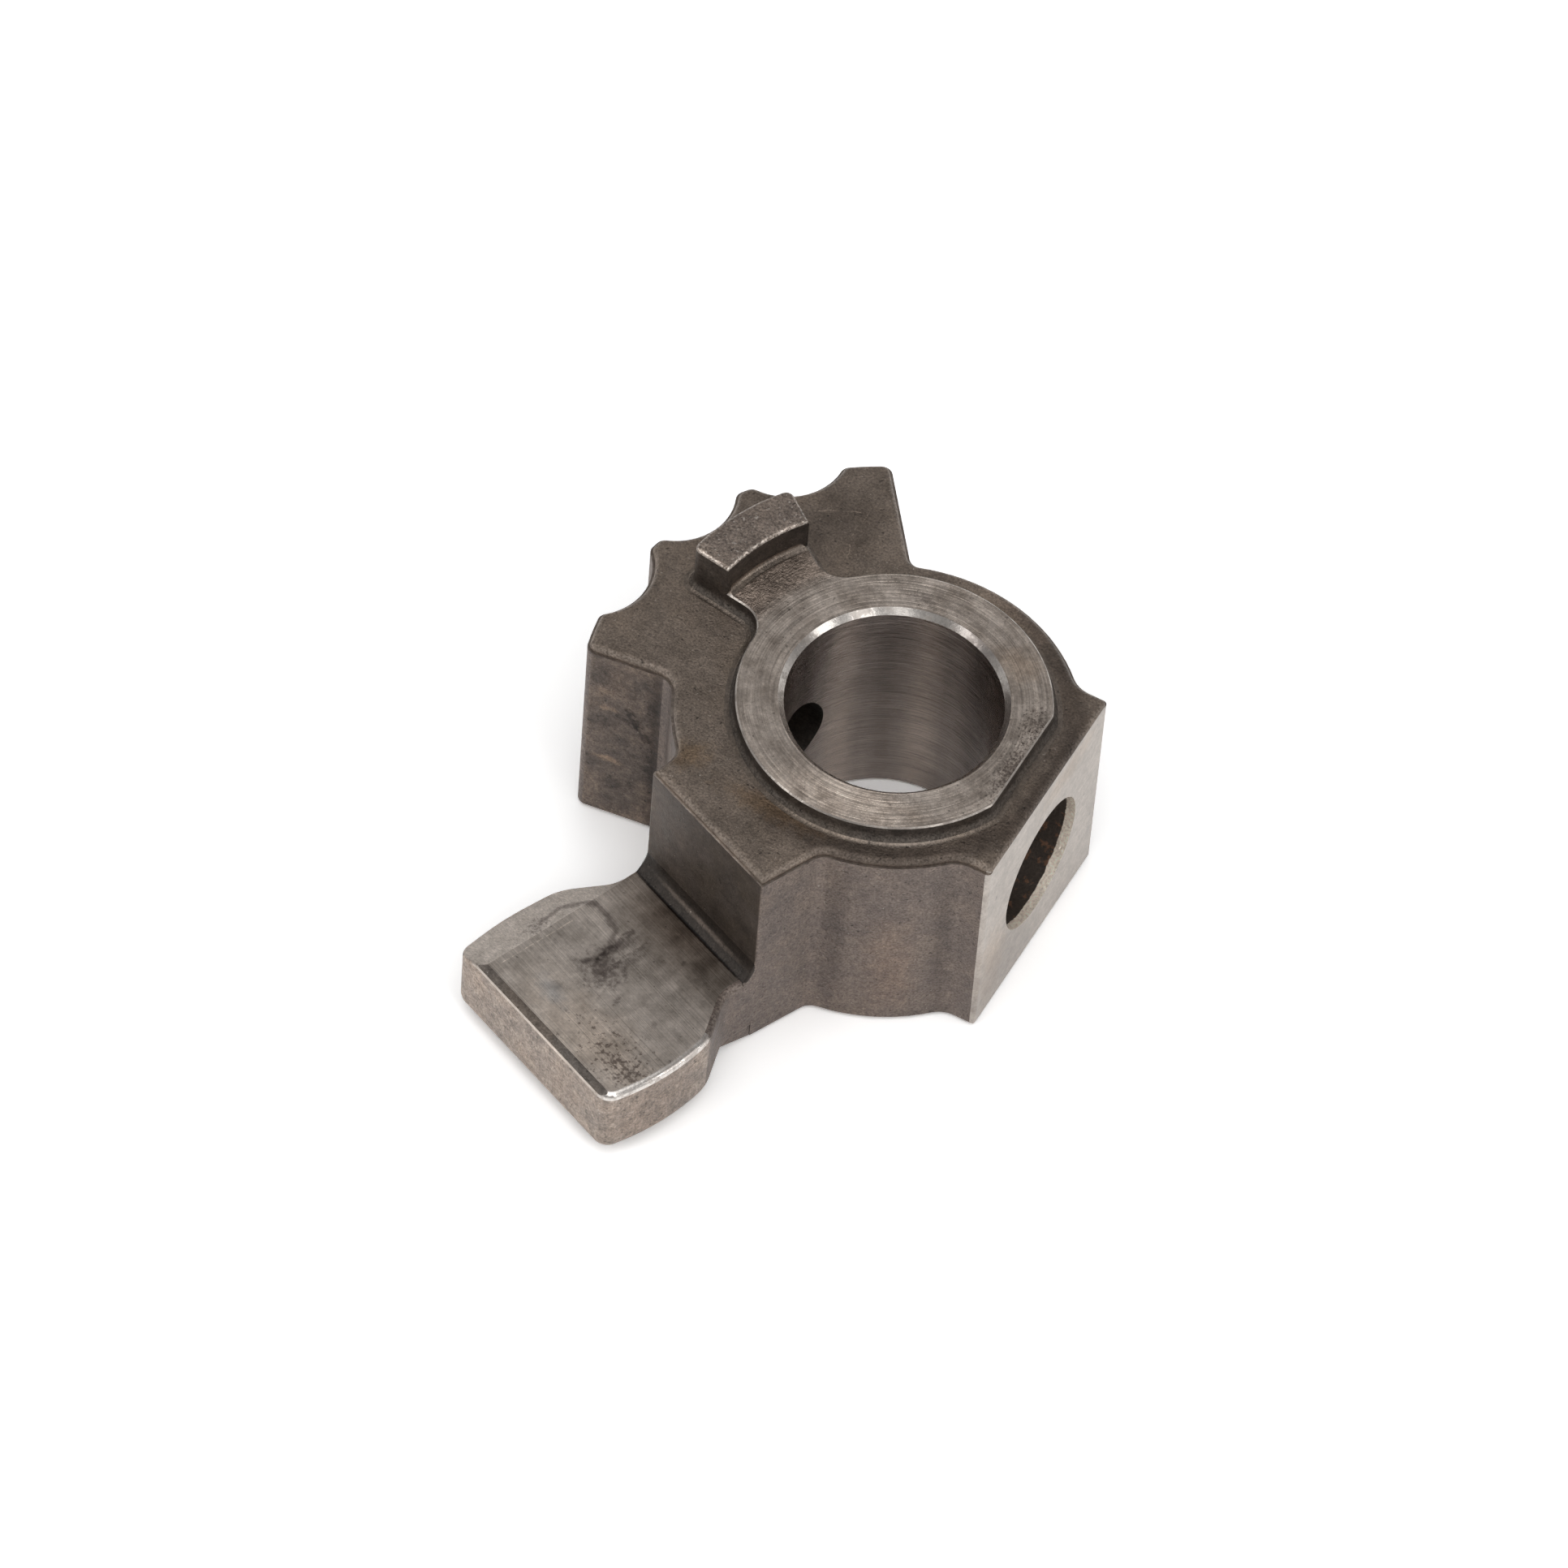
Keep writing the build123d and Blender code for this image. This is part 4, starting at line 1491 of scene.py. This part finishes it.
@dataclass(frozen=True)
class Forging:
    """The whole arm: one closed piece, dressed by the sub-assembly that each small face belongs to."""

    node: str
    weld: float = 0.001 * MM
    crease: float = math.radians(30.0)
    under_rim: float = 0.6 * MM
    face_weight: int = 100
    pad: FlatPad = FlatPad()
    hub: Hub = Hub()
    lug: StopLug = StopLug()
    arm: Arm = Arm()
    finger: Finger = Finger()
    sector: DetentSector = DetentSector()
    body: Body = Body()

    def build(self) -> bpy.types.Object:
        """Builds the piece from a merged copy of the solid.

        Returns:
            The piece, smooth within each surface and creased between surfaces.
        """
        shape = bmesh.new()
        shape.from_mesh(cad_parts[self.node].data)
        bmesh.ops.remove_doubles(shape, verts=shape.verts[:], dist=self.weld)
        self.hub.round_foot(shape)
        for face in shape.faces:
            face.smooth = True
        for edge in shape.edges:
            at_rim = all(0.0 < vert.co.z < self.under_rim for vert in edge.verts)
            edge.smooth = at_rim or edge.calc_face_angle(math.pi) < self.crease
        mesh = bpy.data.meshes.new("forging")
        shape.to_mesh(mesh)
        shape.free()
        piece = bpy.data.objects.new("forging", mesh)
        bpy.context.scene.collection.objects.link(piece)
        modifier = piece.modifiers.new("even light on flats", "WEIGHTED_NORMAL")
        modifier.keep_sharp = True
        modifier.weight = self.face_weight
        return piece

    def dress(self, piece: bpy.types.Object, effects: Effects) -> dict[str, int]:
        """Gives each small face the finish of its sub-assembly.

        Args:
            piece: The built piece.
            effects: The shared effects.

        Returns:
            How many small faces each finish covers.
        """
        slots: dict[str, int] = {}
        counts: dict[str, int] = {}
        piece.data.materials.clear()
        for polygon in piece.data.polygons:
            finish = self.finish_at(Spot(polygon.center / MM, polygon.normal.copy()))
            if finish.name not in slots:
                slots[finish.name] = len(slots)
                piece.data.materials.append(finish.make(effects))
            polygon.material_index = slots[finish.name]
            counts[finish.name] = counts.get(finish.name, 0) + 1
        return counts

    def finish_at(self, spot: Spot) -> Finish:
        """Finish that the first sub-assembly to claim a face gives it.

        Args:
            spot: The face's middle and the way it looks.

        Returns:
            The finish.
        """
        for assembly in (self.pad, self.hub, self.lug, self.arm, self.finger, self.sector):
            finish = assembly.finish_at(spot)
            if finish:
                return finish
        return self.body.finish_at(spot)

    def place(self, piece: bpy.types.Object) -> None:
        """Lets the piece stand for the solid and ride where it rides.

        Args:
            piece: The dressed piece.
        """
        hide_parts(self.node)
        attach(piece, "root")


@dataclass(frozen=True)
class SoftBox:
    """Large soft lamp that looks at a point, in metres."""

    name: str
    place: Triple
    width: float
    height: float
    radiance: float

    def hang(self, target: Vector) -> None:
        """Hangs the lamp and turns it to a target.

        Args:
            target: The point that the lamp looks at, in metres.
        """
        lamp = bpy.data.lights.new(self.name, "AREA")
        lamp.shape = "RECTANGLE"
        lamp.size = self.width
        lamp.size_y = self.height
        lamp.energy = self.radiance * math.pi * self.width * self.height
        holder = bpy.data.objects.new(self.name, lamp)
        holder.location = self.place
        holder.rotation_euler = (target - Vector(self.place)).to_track_quat("-Z", "Y").to_euler()
        bpy.context.scene.collection.objects.link(holder)


@dataclass(frozen=True)
class PhotoCamera:
    """Camera at the photograph's viewing angle: millimetres, degrees, and pixels of a square frame."""

    elevation: float = 53.36
    azimuth: float = -24.82
    roll: float = 4.93
    right: float = 9.52
    down: float = 8.47
    distance: float = 1283.0
    focal_pixels: float = 15665.0
    frame_pixels: float = 1932.0
    film: float = 36.0
    sight: float = 20.0

    def axes(self) -> Matrix:
        """Rows that point to the picture's right, down and into the scene.

        Returns:
            The three rows.
        """
        rise = math.radians(self.elevation)
        turn = math.radians(self.azimuth)
        level = math.cos(rise)
        ahead = Vector((level * math.sin(turn), level * math.cos(turn), -math.sin(rise)))
        right = Vector((math.cos(turn), -math.sin(turn), 0.0))
        rows = Matrix((right, ahead.cross(right), ahead))
        return Matrix.Rotation(math.radians(self.roll), 3, "Z") @ rows

    def stand(self) -> None:
        """Sets the camera up and makes it the scene's own."""
        rows = self.axes()
        camera = bpy.data.cameras.new("camera")
        camera.sensor_width = self.film
        camera.lens = self.focal_pixels / self.frame_pixels * self.film
        camera.clip_end = self.sight
        holder = bpy.data.objects.new("camera", camera)
        place = rows.transposed() @ Vector((self.right, self.down, self.distance)) * -MM
        columns = Matrix((rows[0], -rows[1], -rows[2])).transposed()
        holder.matrix_world = Matrix.Translation(place) @ columns.to_4x4()
        bpy.context.scene.collection.objects.link(holder)
        bpy.context.scene.camera = holder


@dataclass(frozen=True)
class Glow:
    """Soft bright place in the studio's tent: the way to it, and its core and reach in degrees."""

    towards: Triple
    core: float
    reach: float
    radiance: float

    def seen(self, desk: Desk, outlook: Socket) -> Socket:
        """How much light comes from a direction.

        Args:
            desk: The world's desk.
            outlook: The direction.

        Returns:
            The light, in the unit of radiance.
        """
        facing = desk.reading("DOT_PRODUCT", outlook, Vector(self.towards).normalized())
        share = desk.ease(facing, math.cos(math.radians(self.reach)), math.cos(math.radians(self.core)))
        return desk.math("MULTIPLY", share, self.radiance)


@dataclass(frozen=True)
class Studio:
    """Pale floor, soft lamps and a tent that is bright at the horizon, behind the part and overhead."""

    floor_reach: float = 6.0
    floor_drop: float = 0.02 * MM
    floor_plain: float = 0.86
    floor_seen: float = 1.56
    floor_mirrored: float = 1.42
    tent: float = 0.3
    horizon: float = 0.72
    horizon_rise: float = 0.45
    glows: tuple[Glow, ...] = (
        Glow((-0.25, 0.54, 0.8), 12.0, 50.0, 0.12),
        Glow((0.13, -0.24, 0.96), 10.0, 36.0, 1.5),
    )
    boxes: tuple[SoftBox, ...] = (
        SoftBox("left front box", (-0.84, -1.07, 0.85), 0.45, 1.0, 2.6),
        SoftBox("front box", (0.5, -1.05, 1.15), 0.4, 0.5, 1.2),
        SoftBox("right front box", (1.06, -0.61, 1.03), 0.35, 1.0, 2.6),
        SoftBox("right box", (1.38, 0.12, 0.68), 0.4, 0.6, 2.4),
    )

    def lay_floor(self) -> None:
        """Lays the floor that keeps the shadow."""
        shape = bmesh.new()
        bmesh.ops.create_grid(shape, x_segments=1, y_segments=1, size=self.floor_reach)
        bmesh.ops.translate(shape, verts=shape.verts[:], vec=(0.0, 0.0, -self.floor_drop))
        mesh = bpy.data.meshes.new("floor")
        shape.to_mesh(mesh)
        shape.free()
        floor = bpy.data.objects.new("floor", mesh)
        bpy.context.scene.collection.objects.link(floor)
        mesh.materials.append(self.floor_paper())

    def floor_paper(self) -> bpy.types.Material:
        """Pale paper that shows white to the camera and in the metal.

        Returns:
            The material.
        """
        material = bpy.data.materials.new("pale paper")
        material.use_nodes = True
        material.node_tree.nodes.clear()
        desk = Desk(material.node_tree)
        rays = desk.add("ShaderNodeLightPath", {}).outputs
        mirrored = desk.math("MAXIMUM", rays["Is Glossy Ray"], rays["Is Transmission Ray"])
        tone = desk.math("MULTIPLY_ADD", mirrored, self.floor_mirrored - self.floor_plain, self.floor_plain)
        tone = desk.math("MULTIPLY_ADD", rays["Is Camera Ray"], self.floor_seen - self.floor_plain, tone)
        shader = desk.add("ShaderNodeBsdfDiffuse", {"Color": desk.joined(tone, tone, tone)})
        desk.add("ShaderNodeOutputMaterial", {"Surface": shader.outputs[0]})
        return material

    def fill_world(self) -> None:
        """Fills the world with the soft gradient, and with white for the camera."""
        world = bpy.data.worlds.new("soft studio")
        world.use_nodes = True
        world.node_tree.nodes.clear()
        desk = Desk(world.node_tree)
        outlook = desk.add("ShaderNodeTexCoord", {}).outputs["Generated"]
        above = desk.ease(desk.parts(outlook)[2], 0.0, self.horizon_rise)
        tone = desk.math("MULTIPLY_ADD", above, -self.horizon, self.tent + self.horizon)
        for glow in self.glows:
            tone = desk.math("ADD", tone, glow.seen(desk, outlook))
        seen = desk.add("ShaderNodeLightPath", {}).outputs["Is Camera Ray"]
        shown = desk.blend(seen, desk.joined(tone, tone, tone), (1.0, 1.0, 1.0))
        shader = desk.add("ShaderNodeBackground", {"Color": shown})
        desk.add("ShaderNodeOutputWorld", {"Surface": shader.outputs[0]})
        bpy.context.scene.world = world

    def light(self) -> None:
        """Fills the world and hangs the lamps round the part."""
        self.fill_world()
        target = Vector((0.0, 0.0, BODY_TOP * MM))
        for box in self.boxes:
            box.hang(target)


def main() -> None:
    """Builds the arm and its studio, and reports each piece."""
    logging.basicConfig(level=logging.INFO, format="%(message)s")
    bpy.context.scene.view_settings.view_transform = "Standard"
    effects = Effects()
    forging = Forging(NODE)
    piece = forging.build()
    LOG.info("forging: %d triangles", len(piece.data.polygons))
    for name, count in sorted(forging.dress(piece, effects).items()):
        LOG.info("  %s: %d faces", name, count)
    forging.place(piece)
    studio = Studio()
    studio.lay_floor()
    studio.light()
    PhotoCamera().stand()
    LOG.info("studio: floor, %d soft boxes and camera", len(studio.boxes))


if __name__ == "__main__":
    main()
